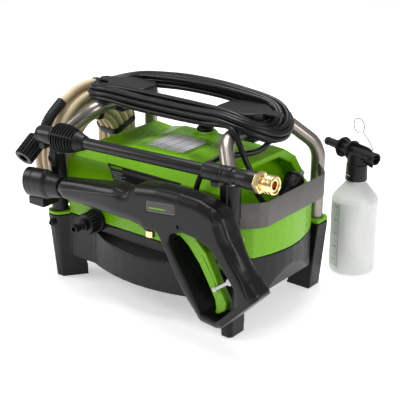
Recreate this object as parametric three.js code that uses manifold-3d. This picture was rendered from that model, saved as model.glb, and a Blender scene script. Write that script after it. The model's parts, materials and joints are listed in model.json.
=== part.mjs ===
// Electric pressure washer with its frame, cord, hose, trigger gun, lance and foam bottle.
// Millimetres, +X to the right along the front, +Y to the back, +Z up, floor at z = 0.
import * as THREE from "three";
import { ConvexGeometry } from "three/addons/geometries/ConvexGeometry.js";
import { mergeVertices } from "three/addons/utils/BufferGeometryUtils.js";
import Module from "manifold-3d";

const wasm = await Module();
wasm.setup();

// ---------------------------------------------------------------- driving dimensions
const GAP = 0.3; // air between touching pieces
const POST_X = 171; // frame posts, from the middle
const POST_Y = 114;
const TUBE_R = 11; // 22 mm steel tube
const BEND_LOW_Z = 235; // where each post leans inwards
const RAIL_X = 128; // level top run of each end frame
const RAIL_Y = 71;
const RAIL_Z = 283;
const BEND_R = 42;
const SOCKET_Z = 40; // bottom of the tube sockets in the legs
const LEG_Z = 111; // top of the legs
const SEAM_Z = 114; // top edge of the base, where the cover starts
const BASE_Z = 38; // underside of the base tub
const WALL = 3.5;
const FRONT_Y = -113; // front wall of base and cover
const BIN_Z = 178; // floor of the accessory bin
const BIN_X = 150; // the cover's upper body ends here and the bin starts
const SLEEVE_R = 13.4;
const SLEEVE_TOP = 214;
const ARM_BACK = -125.7; // the lance saddles stand clear of the bent tube
const PLATE_TOP = 312;
const GUN_Y = -154;
const LANCE_Y = -150;
const LANCE_Z = 259.2; // lance axis at x = 0
const LANCE_TILT = 0.034;
const BOTTLE = [193, 199];
const HEAD_TURN = -0.307;
const CORD_R = 4.25; // 8.5 mm three-core cord
const HOSE_R = 6.5; // 13 mm high-pressure hose
const COIL = { x: -205, y: -4, z: 191, inner: 44, outer: 98, width: 39 };
const OUTLET_Y = -70; // hose outlet on the left wall
const OFFSET = [-28.54, -29.5, 0]; // puts the bottom centre of the set at the origin

const FINISH = {
  black: [0x2c2c2d, 0.55, 0],
  blackSoft: [0x232324, 0.75, 0],
  green: [0x7fb41f, 0.4, 0],
  steel: [0x98938c, 0.35, 0.9],
  band: [0x7c7a77, 0.45, 0.6],
  brass: [0xe6bd5a, 0.25, 1],
  zinc: [0xb9babd, 0.35, 0.9],
  hose: [0xd9c8ab, 0.7, 0],
  white: [0xe9ebe8, 0.45, 0],
  label: [0xb9bdc2, 0.5, 0],
  latch: [0xc6c6cb, 0.5, 0],
  alloy: [0xa9abad, 0.4, 0.8],
};

// ---------------------------------------------------------------- helpers
const group = new THREE.Group();

function solid(geometry) {
  const bare = geometry.index ? geometry.toNonIndexed() : geometry.clone();
  bare.deleteAttribute("normal");
  bare.deleteAttribute("uv");
  const merged = mergeVertices(bare, 1e-3);
  return new wasm.Manifold(
    new wasm.Mesh({
      numProp: 3,
      vertProperties: merged.attributes.position.array,
      triVerts: new Uint32Array(merged.index.array),
    }),
  );
}

function geometryOf(manifold) {
  const mesh = manifold.getMesh();
  const out = new THREE.BufferGeometry();
  out.setAttribute("position", new THREE.BufferAttribute(mesh.vertProperties, 3));
  out.setIndex(new THREE.BufferAttribute(mesh.triVerts, 1));
  return out;
}

function node(name, shape, finish, parent = group) {
  const geometry = shape.isBufferGeometry ? shape : geometryOf(shape);
  const [color, roughness, metalness] = FINISH[finish];
  const material = new THREE.MeshStandardMaterial({ color, roughness, metalness });
  const mesh = new THREE.Mesh(geometry, material);
  mesh.name = name;
  parent.add(mesh);
  return mesh;
}

function shapeOf(points, holes = []) {
  const shape = new THREE.Shape(points.map(([x, y]) => new THREE.Vector2(x, y)));
  shape.holes = holes.map((hole) => new THREE.Path(hole.map(([x, y]) => new THREE.Vector2(x, y))));
  return shape;
}

// Prisms of an outline in the XY, YZ or XZ plane.
function prismZ(points, z0, z1, holes = [], bevel = 0) {
  const geometry = new THREE.ExtrudeGeometry(shapeOf(points, holes), {
    depth: z1 - z0 - 2 * bevel,
    bevelEnabled: bevel > 0,
    bevelSize: bevel,
    bevelThickness: bevel,
    bevelOffset: -bevel,
    bevelSegments: 1,
  });
  return geometry.translate(0, 0, z0 + bevel);
}

function prismX(points, x0, x1) {
  const turn = new THREE.Matrix4().makeBasis(
    new THREE.Vector3(0, 1, 0),
    new THREE.Vector3(0, 0, 1),
    new THREE.Vector3(1, 0, 0),
  );
  return prismZ(points, x0, x1).applyMatrix4(turn);
}

function prismY(points, y0, y1, holes = [], bevel = 0) {
  return prismZ(points, -y1, -y0, holes, bevel).rotateX(Math.PI / 2);
}

function box(x0, x1, y0, y1, z0, z1) {
  const geometry = new THREE.BoxGeometry(x1 - x0, y1 - y0, z1 - z0);
  return geometry.translate((x0 + x1) / 2, (y0 + y1) / 2, (z0 + z1) / 2);
}

// Cylinder or cone between two points.
function rod(from, to, radius, sides = 16, endRadius = radius) {
  const a = new THREE.Vector3(...from);
  const b = new THREE.Vector3(...to);
  const along = b.clone().sub(a);
  const geometry = new THREE.CylinderGeometry(endRadius, radius, along.length(), sides);
  const turn = new THREE.Quaternion().setFromUnitVectors(
    new THREE.Vector3(0, 1, 0),
    along.normalize(),
  );
  geometry.applyQuaternion(turn);
  const middle = a.add(b).multiplyScalar(0.5);
  return geometry.translate(middle.x, middle.y, middle.z);
}

// Turned piece along +X: profile of [x, radius] that starts and ends on the axis or closes.
function turned(profile, sides = 20) {
  const points = profile.map(([x, r]) => new THREE.Vector2(r, x));
  return new THREE.LatheGeometry(points, sides).rotateZ(-Math.PI / 2);
}

// Turned piece along +Z.
function turnedZ(profile, sides = 24) {
  const points = profile.map(([r, z]) => new THREE.Vector2(r, z));
  return new THREE.LatheGeometry(points, sides).rotateX(Math.PI / 2);
}

function circle(radius, sides, cx = 0, cy = 0) {
  const angles = Array.from({ length: sides }, (_, i) => (2 * Math.PI * i) / sides);
  return angles.map((a) => [cx + radius * Math.cos(a), cy + radius * Math.sin(a)]);
}

// Ribbed round outline, for grips and hand nuts.
function ribbed(radius, depth, ribs) {
  return Array.from({ length: ribs * 4 }, (_, i) => {
    const a = (2 * Math.PI * (i + 0.5)) / (ribs * 4);
    const r = i % 4 < 2 ? radius : radius - depth;
    return [r * Math.cos(a), r * Math.sin(a)];
  });
}

function vectors(points) {
  return points.map((p) => new THREE.Vector3(...p));
}

// Path made of stations: an extrusion along it puts one ring at each of them.
class StationPath extends THREE.Curve {
  constructor(stations) {
    super();
    this.stations = stations;
  }

  getPoint(t) {
    const at = t * (this.stations.length - 1);
    const i = Math.min(Math.floor(at + 1e-6), this.stations.length - 2);
    return this.stations[i].clone().lerp(this.stations[i + 1], at - i);
  }

  getPointAt(u) {
    return this.getPoint(u);
  }

  getTangentAt(u) {
    const i = Math.round(u * (this.stations.length - 1));
    const before = this.stations[Math.max(i - 1, 0)];
    const after = this.stations[Math.min(i + 1, this.stations.length - 1)];
    return after.clone().sub(before).normalize();
  }
}

// Round bar with a ring at each station.
function tube(stations, radius, sides) {
  return new THREE.ExtrudeGeometry(shapeOf(circle(radius, sides)), {
    steps: stations.length - 1,
    bevelEnabled: false,
    extrudePath: new StationPath(stations),
  });
}

// Stations of a soft curve through a few points.
function smooth(points, steps) {
  return new THREE.CatmullRomCurve3(vectors(points), false, "centripetal").getSpacedPoints(steps);
}

// Stations of straight runs joined by round bends.
function bentPath(points, radius, steps) {
  const corners = vectors(points);
  const stations = [corners[0]];
  for (let i = 1; i < corners.length - 1; i += 1) {
    const inward = corners[i - 1].clone().sub(corners[i]).normalize();
    const outward = corners[i + 1].clone().sub(corners[i]).normalize();
    const half = inward.angleTo(outward) / 2;
    const middle = inward.clone().add(outward).normalize();
    const centre = corners[i].clone().addScaledVector(middle, radius / Math.sin(half));
    const start = corners[i].clone().addScaledVector(inward, radius / Math.tan(half)).sub(centre);
    const axis = inward.clone().negate().cross(outward).normalize();
    for (let k = 0; k <= steps; k += 1) {
      const turn = ((Math.PI - 2 * half) * k) / steps;
      stations.push(start.clone().applyAxisAngle(axis, turn).add(centre));
    }
  }
  stations.push(corners[corners.length - 1]);
  return stations;
}

// Outline moved inwards by a distance, for walls of one thickness.
function inset(points, distance) {
  const count = points.length;
  return points.map((p, i) => {
    const a = points[(i + count - 1) % count];
    const b = points[(i + 1) % count];
    const u = new THREE.Vector2(p[0] - a[0], p[1] - a[1]).normalize();
    const v = new THREE.Vector2(b[0] - p[0], b[1] - p[1]).normalize();
    const nu = new THREE.Vector2(-u.y, u.x);
    const nv = new THREE.Vector2(-v.y, v.x);
    const scale = distance / (1 + nu.dot(nv));
    return [p[0] + (nu.x + nv.x) * scale, p[1] + (nu.y + nv.y) * scale];
  });
}

function arc(from, to, bulge, steps) {
  return Array.from({ length: steps + 1 }, (_, i) => {
    const t = i / steps;
    const lift = 4 * t * (1 - t) * bulge;
    const [nx, ny] = [to[1] - from[1], from[0] - to[0]];
    const size = Math.hypot(nx, ny);
    return [
      from[0] + (to[0] - from[0]) * t + (nx / size) * lift,
      from[1] + (to[1] - from[1]) * t + (ny / size) * lift,
    ];
  });
}

function ascending(a, b) {
  return a - b;
}

function mirrored(points, side) {
  return side > 0 ? points : points.map(([x, y]) => [-x, y]).reverse();
}

const SIDES = [
  ["front_left", -1, 1],
  ["front_right", 1, 1],
  ["rear_left", -1, -1],
  ["rear_right", 1, -1],
];

// A point list for the front right corner, mirrored to another corner and kept counter-clockwise.
function atCorner(points, sx, sy) {
  const moved = points.map(([x, y]) => [x * sx, y * sy]);
  return sx * sy < 0 ? moved.reverse() : moved;
}

// ---------------------------------------------------------------- outlines of base and cover
const plan = [
  [-178, -85],
  [-150, FRONT_Y],
  [150, FRONT_Y],
  ...arc([186, -77], [186, 77], 18, 8),
  [150, -FRONT_Y],
  [-150, -FRONT_Y],
  [-178, 85],
];
const legFoot = [
  [137, -88],
  [163, -122],
  [176, -123],
  [180, -118],
  [180, -88],
];
const legTop = [
  [138, -96],
  [161, -129],
  [169, -132],
  [181, -131],
  [188, -124],
  [188, -96],
];

// ---------------------------------------------------------------- base tub with its four legs
function leg(sx, sy) {
  const points = [
    ...legFoot.map(([x, y]) => [x * sx, y * sy, 0]),
    ...legTop.map(([x, y]) => [x * sx, y * sy, LEG_Z]),
  ];
  return solid(new ConvexGeometry(vectors(points)));
}

function bowedPanel(side) {
  const outline = [...arc([-112, 108 * -side], [112, 108 * -side], 24 * side, 10)];
  const flat = side > 0 ? outline : outline.reverse();
  const bevel = [
    [-134, BASE_Z],
    [-108, BASE_Z],
    [-108, 98],
    [-116, 98],
    [-134, 84],
  ];
  const section = side > 0 ? bevel.slice().reverse() : bevel.map(([y, z]) => [-y, z]);
  const body = solid(prismZ(flat, BASE_Z, 100));
  return body.intersect(solid(prismX(section.reverse(), -120, 120)));
}

function baseTub() {
  const ends = [
    [-170, BASE_Z],
    [170, BASE_Z],
    [194, 56],
    [206, 92],
    [206, SEAM_Z],
    [-180, SEAM_Z],
    [-180, 56],
  ];
  let body = solid(prismZ(plan, BASE_Z, SEAM_Z)).intersect(solid(prismY(ends, -140, 140)));
  body = body.add(bowedPanel(1)).add(bowedPanel(-1));
  const hollow = solid(prismZ(inset(plan, WALL), BASE_Z + WALL, SEAM_Z + 1));
  body = body.subtract(hollow.intersect(solid(prismY(inset(ends, WALL), -140, 140))));
  const mouth = solid(prismZ(inset(plan, WALL), SEAM_Z - 20, SEAM_Z + 1));
  body = body.subtract(mouth);
  for (const [, sx, sy] of SIDES) {
    const socket = rod(
      [POST_X * sx, POST_Y * -sy, SOCKET_Z - GAP],
      [POST_X * sx, POST_Y * -sy, LEG_Z + 1],
      TUBE_R + 0.6,
      14,
    );
    const screw = rod([POST_X * sx, -136 * sy, 98], [POST_X * sx, -122 * sy, 98], 3.4, 8);
    body = body.add(leg(sx, sy)).subtract(solid(socket));
    if (sy > 0) body = body.subtract(solid(screw));
  }
  body = body.subtract(inletHole());
  body = body.subtract(solid(rod([-190, OUTLET_Y, 60], [-160, OUTLET_Y, 60], 9.4, 14)));
  return body;
}

// ---------------------------------------------------------------- water inlet
const INLET = [-91, 117];

function inletHole() {
  return solid(rod([INLET[0], -125, INLET[1]], [INLET[0], -100, INLET[1]], 9.3, 14));
}

// ---------------------------------------------------------------- top cover
const crossSection = [
  [113, SEAM_Z + GAP],
  [112, 150],
  [108, 186],
  [84, 221],
  [44, 246],
  [-68, 246],
  [-80, 239],
  [-107, 213],
  [-111, 170],
  [-113, SEAM_Z + GAP],
];
const ridgeLine = [
  [-179, SEAM_Z + GAP],
  [206, SEAM_Z + GAP],
  [206, BIN_Z],
  [BIN_X + 1, BIN_Z],
  [BIN_X, 240],
  [130, 245],
  [118, 238],
  [106, 232],
  [85, 238],
  [60, 243],
  [-44, 240],
  [-70, 232],
  [-95, 224],
  [-114, 232],
  [-133, 230],
  [-162, 200],
  [-177, 150],
];
const binMouth = [
  [94, BIN_Z],
  [90, 190],
  [72, 212],
  [38, 231],
  [-62, 231],
  [-92, 204],
  [-96, BIN_Z],
];

function topCover() {
  const outer = solid(prismZ(plan, SEAM_Z + GAP, 260))
    .intersect(solid(prismX(crossSection, -180, 207)))
    .intersect(solid(prismY(ridgeLine, -140, 140)));
  const inner = solid(prismZ(inset(plan, WALL), SEAM_Z - 1, 258))
    .intersect(solid(prismX(inset(crossSection, WALL).map(lowered), -180, 207)))
    .intersect(solid(prismY(inset(ridgeLine, WALL).map(lowered), -140, 140)));
  const bin = solid(prismX(binMouth, 120, BIN_X + 2));
  const binWall = solid(prismX(inset(binMouth, -WALL), 120 - WALL, BIN_X + 4));
  let body = outer.subtract(bin).subtract(inner.subtract(binWall));
  for (const [, sx, sy] of SIDES) {
    const ear = solid(prismZ(atCorner(legTop, sx, sy), LEG_Z + GAP, LEG_Z + 6));
    const inside = solid(prismZ(inset(plan, -GAP), LEG_Z, SEAM_Z + GAP));
    const post = [POST_X * sx, POST_Y * -sy];
    const hole = solid(rod([...post, LEG_Z - 5], [...post, LEG_Z + 12], TUBE_R + 0.6, 14));
    body = body.add(ear.subtract(inside)).subtract(hole);
  }
  const boss = solid(turnedZ(KNOB_BOSS, 16)).translate([KNOB[0], KNOB[1], 0]);
  body = body.add(boss);
  body = body.subtract(solid(rod([...KNOB, 220], [...KNOB, 260], 5.4, 12)));
  body = body.subtract(topLabel(0.3));
  body = body.subtract(solid(frontLabelPrism(0.3))).subtract(inletHole());
  return body;
}

function lowered([x, y]) {
  return y < SEAM_Z + 6 ? [x, SEAM_Z - 2] : [x, y];
}

const KNOB = [8, 38];
const KNOB_BOSS = [
  [0, 234],
  [21, 234],
  [21, 243],
  [17, 247],
  [0, 247],
];

// Blank rating panel set into the top, and blank information panel on the front face.
function topLabel(grow) {
  const outline = [
    [-26, -64],
    [46, -64],
    [46, -8],
    [36, 0],
    [-14, 0],
    [-26, -10],
  ];
  const flat = inset(outline, -grow);
  const lift = 0.05 * 45;
  return solid(prismZ(flat, 239.4 - grow + lift, 252)).intersect(
    solid(prismZ(flat, 230, 241.6 + lift + grow)),
  );
}

function frontLabelPrism(grow) {
  const outline = [
    [-62, 208],
    [-52, 186],
    [64, 186],
    [78, 208],
  ];
  return prismY(inset(outline, -grow), -112, -107.5 + grow);
}

// ---------------------------------------------------------------- frame, sleeves, hooks, handle
function endFrame(side) {
  const path = bentPath(
    [
      [POST_X * side, -POST_Y, SOCKET_Z],
      [POST_X * side, -POST_Y, BEND_LOW_Z],
      [RAIL_X * side, -RAIL_Y, RAIL_Z],
      [RAIL_X * side, RAIL_Y, RAIL_Z],
      [POST_X * side, POST_Y, BEND_LOW_Z],
      [POST_X * side, POST_Y, SOCKET_Z],
    ],
    BEND_R,
    4,
  );
  return tube(path, TUBE_R, 12);
}

// Plastic sleeve on a front post, with the saddle that the lance lies in.
function sleeve(side) {
  const x = POST_X * side;
  const lanceR = side > 0 ? 12.5 : 15.4;
  const lanceZ = LANCE_Z + LANCE_TILT * x;
  const under = lanceZ - lanceR;
  let body = solid(rod([x, -POST_Y, LEG_Z + 6 + GAP], [x, -POST_Y, SLEEVE_TOP], SLEEVE_R, 16));
  body = body.add(solid(rod([x, -POST_Y, 205], [x, -128.6, 205], 8, 14)));
  const arm = side > 0 ? x : x + 6;
  body = body.add(solid(box(arm - 6, arm + 6, -131, ARM_BACK, 196, under + 2)));
  body = body.add(solid(box(arm - 6, arm + 6, -153, ARM_BACK, under - 8, under + 2)));
  if (side < 0) body = body.add(solid(box(-196, -163, -158, -118, 133, 158)));
  if (side > 0) body = body.add(solid(rod([167, -144, 153], [167, -112, 153], 4, 10)));
  body = body.subtract(
    solid(rod([x - 20, LANCE_Y, lanceZ], [x + 20, LANCE_Y, lanceZ], lanceR + 0.6, 16)),
  );
  body = body.subtract(solid(rod([-240, GUN_Y, 165.9], [-140, GUN_Y, 175.1], 24.6, 20)));
  body = body.subtract(solid(rod([x, -POST_Y, 100], [x, -POST_Y, 226], TUBE_R + 0.4, 14)));
  return body.subtract(solid(rod([x, -135, 205], [x, -127.6, 205], 5.3, 12)));
}

// Plate that the cord is wound round, clamped on a frame rail, with a tongue over the winding's end.
function hookPlate(side) {
  const outline = [
    [72, -16],
    [84, -30],
    [131, -32],
    [145, -22],
    [152, -13],
    [152, 13],
    [145, 22],
    [131, 32],
    [84, 30],
    [72, 16],
  ];
  const tongue = [
    [140, -13],
    [174, -9],
    [178, 0],
    [174, 9],
    [140, 13],
  ];
  let body = solid(prismZ(mirrored(outline, side), 297, PLATE_TOP, [], 2));
  body = body.add(solid(prismZ(mirrored(tongue, side), 307.4, PLATE_TOP)));
  body = body.subtract(solid(prismZ(mirrored(inset(outline, 4), side), 290, 305)));
  body = body.add(solid(box(...[112 * side, 145 * side].sort(ascending), -23, 23, 268, 306)));
  const rail = rod([RAIL_X * side, -60, RAIL_Z], [RAIL_X * side, 60, RAIL_Z], TUBE_R + 0.4, 16);
  return body.subtract(solid(rail));
}

function handleBar() {
  const section = [
    [-15, 290],
    [-11, 287],
    [11, 287],
    [15, 290],
    [15, 297],
    [12, 300],
    [-12, 300],
    [-15, 297],
  ];
  return prismX(section, -70.5, 70.5);
}

// Steel band round the accessory bin, from post to post.
function sideBand() {
  const outer = [
    [184, -104],
    [203, -84],
    [208, -72],
    [208, 72],
    [203, 84],
    [184, 104],
  ];
  const thickness = 2.2;
  const inner = outer.map(([x, y]) => [x - thickness, y - Math.sign(y) * thickness * 0.6]);
  return prismZ([...outer, ...inner.reverse()], 169, 207);
}

// ---------------------------------------------------------------- drive and water way, inside
function motorBody() {
  return turned(
    [
      [-55, 6.6],
      [-55, 30],
      [-48, 47],
      [64, 47],
      [72, 34],
      [72, 6.6],
      [-55, 6.6],
    ],
    22,
  ).translate(0, 0, 108);
}

function motorCradle() {
  const body = solid(box(-46, 60, -44, 44, BASE_Z + WALL + GAP, 78));
  const round = solid(rod([-60, 0, 108], [80, 0, 108], 47.6, 28));
  return body.subtract(round).subtract(solid(box(-20, 34, -60, 60, 52, 90)));
}

function pumpHead() {
  const outline = [
    [-30, 82],
    [-20, 74],
    [20, 74],
    [30, 82],
    [34, 104],
    [30, 134],
    [20, 142],
    [-20, 142],
    [-30, 134],
    [-34, 104],
  ];
  return prismX(outline, -158, -94);
}

// Shaft with the pump's slanted wobble plate on its left end.
function driveShaft() {
  const disc = solid(rod([-86, 0, 107], [-78, 0, 109], 26, 16));
  return disc.add(solid(rod([-92, 0, 108], [94, 0, 108], 6, 14)));
}

function motorFan() {
  let body = solid(turned([[78, 6.4], [78, 14], [92, 14], [92, 6.4], [78, 6.4]], 16));
  const blades = 7;
  for (let i = 0; i < blades; i += 1) {
    const blade = box(80, 90, -1.2, 1.2, 12, 42).rotateX((2 * Math.PI * i) / blades);
    body = body.add(solid(blade));
  }
  return body.translate([0, 0, 108]);
}

function inletNut() {
  const outline = ribbed(17, 1.4, 12);
  const body = solid(prismZ(outline, 0, 19, [circle(9.4, 14)]));
  return geometryOf(body).rotateX(Math.PI / 2).translate(INLET[0], -121, INLET[1]);
}

function inletNipple() {
  const profile = [
    [0, 4],
    [0, 6.6],
    [3, 6.6],
    [4, 5.8],
    [12, 5.8],
    [13, 7],
    [18, 7],
    [19, 9],
    [24, 9],
    [24, 4],
    [0, 4],
  ];
  const piece = turned(profile, 16).rotateZ(Math.PI / 2);
  return piece.translate(INLET[0], -165, INLET[1]);
}

// Pipes between the pump and the two fittings, inside the base.
const inletRoute = [
  [INLET[0], -103.5, INLET[1]],
  [INLET[0], -88, INLET[1]],
  [-98, -68, 114],
  [-112, -51, 110],
  [-124, -37.6, 108],
];
const outletRoute = [
  [-166, OUTLET_Y, 60],
  [-157, OUTLET_Y, 61.5],
  [-148, -66, 76],
  [-146, -55, 92],
  [-146, -46, 97],
  [-146, -38, 97.5],
];

// ---------------------------------------------------------------- mains cord
// One turn of the winding: round the two hook plates, high in the middle and low at the ends.
const WINDING = { straight: 121, half: 48.5, high: 312.4, low: 288, section: [12.8, 17.4] };

// Height of the winding's middle: level over the frame rails, lower round the two ends.
function windingHeight(x) {
  const reach = WINDING.straight + WINDING.half;
  const t = Math.max(0, (Math.abs(x) - 141) / (reach - 141));
  return WINDING.high - (WINDING.high - WINDING.low) * t * t * (3 - 2 * t);
}

function windingPoints() {
  const { straight, half } = WINDING;
  const points = [];
  for (const side of [1, -1]) {
    for (let i = 0; i <= 10; i += 1) {
      const a = -Math.PI / 2 + (Math.PI * i) / 10;
      points.push([side * (straight + half * Math.cos(a)), side * half * Math.sin(a)]);
    }
    for (let i = 1; i < 6; i += 1) {
      points.push([side * straight * (1 - i / 3), side * half]);
    }
  }
  return points.map(([x, y]) => [x, y, windingHeight(x)]);
}

function cordWinding() {
  const points = windingPoints();
  const curve = new THREE.CatmullRomCurve3(vectors(points), true, "centripetal");
  const [w, h] = WINDING.section;
  const section = [
    [-w, -h + 4],
    [-w + 4, -h],
    [w - 4, -h],
    [w, -h + 4],
    [w, h - 4],
    [w - 4, h],
    [-w + 4, h],
    [-w, h - 4],
  ];
  return sweptRing(points.length, curve, section);
}

// A closed ring of one upright section that follows a closed level curve.
function sweptRing(count, curve, section) {
  const vertices = [];
  for (let i = 0; i < count; i += 1) {
    const at = curve.getPoint(i / count);
    const along = curve.getTangent(i / count);
    const out = new THREE.Vector3(-along.y, along.x, 0).normalize();
    for (const [across, up] of section) {
      vertices.push(at.x + out.x * across, at.y + out.y * across, at.z + up);
    }
  }
  const index = [];
  const n = section.length;
  for (let i = 0; i < count; i += 1) {
    const next = (i + 1) % count;
    for (let k = 0; k < n; k += 1) {
      const l = (k + 1) % n;
      index.push(i * n + k, i * n + l, next * n + l);
      index.push(i * n + k, next * n + l, next * n + k);
    }
  }
  const geometry = new THREE.BufferGeometry();
  geometry.setAttribute("position", new THREE.Float32BufferAttribute(vertices, 3));
  geometry.setIndex(index);
  return geometry;
}

// ---------------------------------------------------------------- hose
const TAIL_R = COIL.outer + HOSE_R + GAP; // outermost turn, which leaves the coil

function hoseCoil() {
  const [a, b] = [-COIL.width / 2, COIL.width / 2];
  const chamfer = 4;
  const ring = turned(
    [
      [a, COIL.inner + chamfer],
      [a, COIL.outer - chamfer],
      [a + chamfer, COIL.outer],
      [b - chamfer, COIL.outer],
      [b, COIL.outer - chamfer],
      [b, COIL.inner + chamfer],
      [b - chamfer, COIL.inner],
      [a + chamfer, COIL.inner],
      [a, COIL.inner + chamfer],
    ],
    32,
  );
  return ring.translate(COIL.x, COIL.y, COIL.z);
}

// A point on the outermost turn, by its angle from the back, counter-clockwise seen from the left.
function onOuterTurn(degrees, radius = TAIL_R) {
  const a = (degrees * Math.PI) / 180;
  return [COIL.x, COIL.y + radius * Math.cos(a), COIL.z + radius * Math.sin(a)];
}

const NUT_MIDDLE = [COIL.x, -138, 219];
const NUT_WAY = [0, -0.82, -0.572];

function alongNut(distance) {
  return NUT_MIDDLE.map((c, i) => c + NUT_WAY[i] * distance);
}

// The last turn, from the back of the coil over its top and down to the sleeve.
const hoseTailPoints = [
  ...[-60, -45, -30, -15, 0, 15, 30, 45, 60, 75, 90, 105, 116].map((d) => onOuterTurn(d)),
  [COIL.x, -68, 278],
  [COIL.x, -84, 267],
];
const hoseSleevePoints = [
  [COIL.x, -85.4, 265.9],
  [COIL.x, -98, 255.5],
  alongNut(-33),
  alongNut(-23.4),
];
// From the outlet on the left wall to the underside of the coil.
const hoseLeadPoints = [
  [-205, OUTLET_Y + 18.6, 60],
  [-205, -38, 61],
  [-205, -22, 67],
  [-205, -7, 77],
  [-205, 7, 86.3],
];

function hoseNut() {
  const outline = ribbed(16, 1.6, 12);
  const body = prismZ(outline, -22, 22);
  const turn = new THREE.Quaternion().setFromUnitVectors(
    new THREE.Vector3(0, 0, 1),
    new THREE.Vector3(...NUT_WAY).normalize(),
  );
  return body.applyQuaternion(turn).translate(...NUT_MIDDLE);
}

function hoseOutlet() {
  const spigot = solid(rod([-205, OUTLET_Y, 60], [-167.4, OUTLET_Y, 60], 8.8, 14));
  const flange = solid(rod([-184, OUTLET_Y, 60], [-178.4, OUTLET_Y, 60], 13, 14));
  const elbow = solid(rod([-205, OUTLET_Y - 8.5, 60], [-205, OUTLET_Y + 17.6, 60], 9.4, 14));
  return flange.add(spigot).add(elbow);
}

// Strap that ties the hose coil, round the coil's section at one angle.
function hoseTie(degrees) {
  const reach = COIL.width / 2 + GAP + 0.4;
  const inner = [
    [-reach, COIL.inner - 2.6],
    [reach, COIL.inner - 2.6],
    [reach, TAIL_R + HOSE_R + 0.7],
    [-reach, TAIL_R + HOSE_R + 0.7],
  ];
  const shape = prismZ(inset(inner, -2), -9, 9, [inner]);
  return shape
    .rotateX(Math.PI / 2)
    .rotateX(((degrees - 90) * Math.PI) / 180)
    .translate(COIL.x, COIL.y, COIL.z);
}

// ---------------------------------------------------------------- cord strands and plug
const cordLeadPoints = [
  [112, -120.5, 186.3],
  [112, -120.5, 200],
  [113, -116, 222],
  [117, -105, 243],
  [124, -88, 256],
  [133, -66, 258],
  [143, -46, 257],
  [152, -31, 258],
  [157, -19, 261],
  [159, -10, 266],
];
const cordTailPoints = [
  [157.5, -59.5, 283.5],
  [167, -67, 263],
  [173, -66, 238],
  [178, -62, 213],
  [185, -51, 193],
  [190, -36, 183.5],
  [189, -20, 183.5],
  [185, -8, 186.8],
];
const PLUG_AT = [183.5, -3, 188.6];
const PLUG_WAY = [-0.08, 0.93, 0.36];

function placed(geometry, at, way) {
  const turn = new THREE.Quaternion().setFromUnitVectors(
    new THREE.Vector3(1, 0, 0),
    new THREE.Vector3(...way).normalize(),
  );
  return geometry.applyQuaternion(turn).translate(...at);
}

function plugBody() {
  const body = turned(
    [
      [0, 0],
      [0, 6],
      [14, 9],
      [22, 13],
      [38, 14],
      [38, 16],
      [43, 16],
      [43, 0],
    ],
    14,
  );
  return placed(body, PLUG_AT, PLUG_WAY);
}

function plugBlade(side) {
  const blade = box(43.4, 60, side * 6.3 - 0.8, side * 6.3 + 0.8, -3.2, 3.2);
  return placed(blade, PLUG_AT, PLUG_WAY);
}

// ---------------------------------------------------------------- trigger gun
const gunOutline = [
  [-120, 162],
  [4, 163],
  [26, 163],
  [46, 161],
  [86, 164],
  [148, 55],
  [160, 42],
  [193, 39],
  [266, 112],
  [254, 121],
  [236, 146],
  [234, 166],
  [216, 190],
  [199, 212],
  [184, 220],
  [160, 227],
  [124, 229],
  [82, 228],
  [42, 222],
  [24, 207],
  [2, 210],
  [-120, 193],
];
const gunOpening = [
  [107, 151],
  [166, 58],
  [190, 52],
  [218, 84],
  [221, 94],
  [205, 120],
  [183, 145],
  [158, 166],
  [132, 172],
  [111, 166],
];
const GUN_HALF = 22;
const TRIGGER_PIVOT = [126, 181];
const LATCH_PIVOT = [209, 117];

// The whole gun body before it is split into its two shells.
function gunSolid() {
  const opening = gunOpening.slice().reverse();
  let body = solid(
    prismY(gunOutline, GUN_Y - GUN_HALF, GUN_Y + GUN_HALF, [opening], 5),
  );
  const barrelSides = solid(
    prismZ(
      [
        [-240, GUN_Y - 15],
        [-100, GUN_Y - 15],
        [20, GUN_Y - 23],
        [280, GUN_Y - 23],
        [280, GUN_Y + 23],
        [20, GUN_Y + 23],
        [-100, GUN_Y + 15],
        [-240, GUN_Y + 15],
      ],
      0,
      300,
    ),
  );
  body = body.intersect(barrelSides);
  const nose = turned(
    [
      [0, 0],
      [0, 21],
      [3, 24],
      [42, 24],
      [48, 22],
      [78, 17],
      [78, 0],
    ],
    16,
  );
  body = body.add(solid(nose.rotateY(-0.09).translate(-197, GUN_Y, 169.6)));
  body = body.add(solid(rod([59, GUN_Y, 176], [57, GUN_Y, 153], 11, 16)));
  body = body.subtract(solid(rod([57.9, GUN_Y, 163], [56.5, GUN_Y, 140], 7.9, 14)));
  body = body.subtract(solid(rod([-207, GUN_Y, 168.7], [-177, GUN_Y, 171.4], 8, 14)));
  const slot = prismY(
    [
      [104, 150],
      [150, 160],
      [150, 186],
      [134, 193],
      [110, 190],
      [100, 170],
    ],
    GUN_Y - 7.6,
    GUN_Y + 7.6,
  );
  body = body.subtract(solid(slot));
  const [px, pz] = TRIGGER_PIVOT;
  const pin = rod([px, GUN_Y - 30, pz], [px, GUN_Y + 30, pz], 3.1, 12);
  body = body.subtract(solid(pin));
  const [lx, lz] = LATCH_PIVOT;
  return body.subtract(solid(rod([lx, GUN_Y - 30, lz], [lx, GUN_Y - 7.6, lz], 6.2, 14)));
}

function gunShells() {
  const whole = gunSolid();
  const front = solid(box(-260, 300, GUN_Y - 40, GUN_Y - GAP / 2, 0, 300));
  const back = solid(box(-260, 300, GUN_Y + GAP / 2, GUN_Y + 40, 0, 300));
  return [whole.intersect(front), whole.intersect(back)];
}

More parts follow.
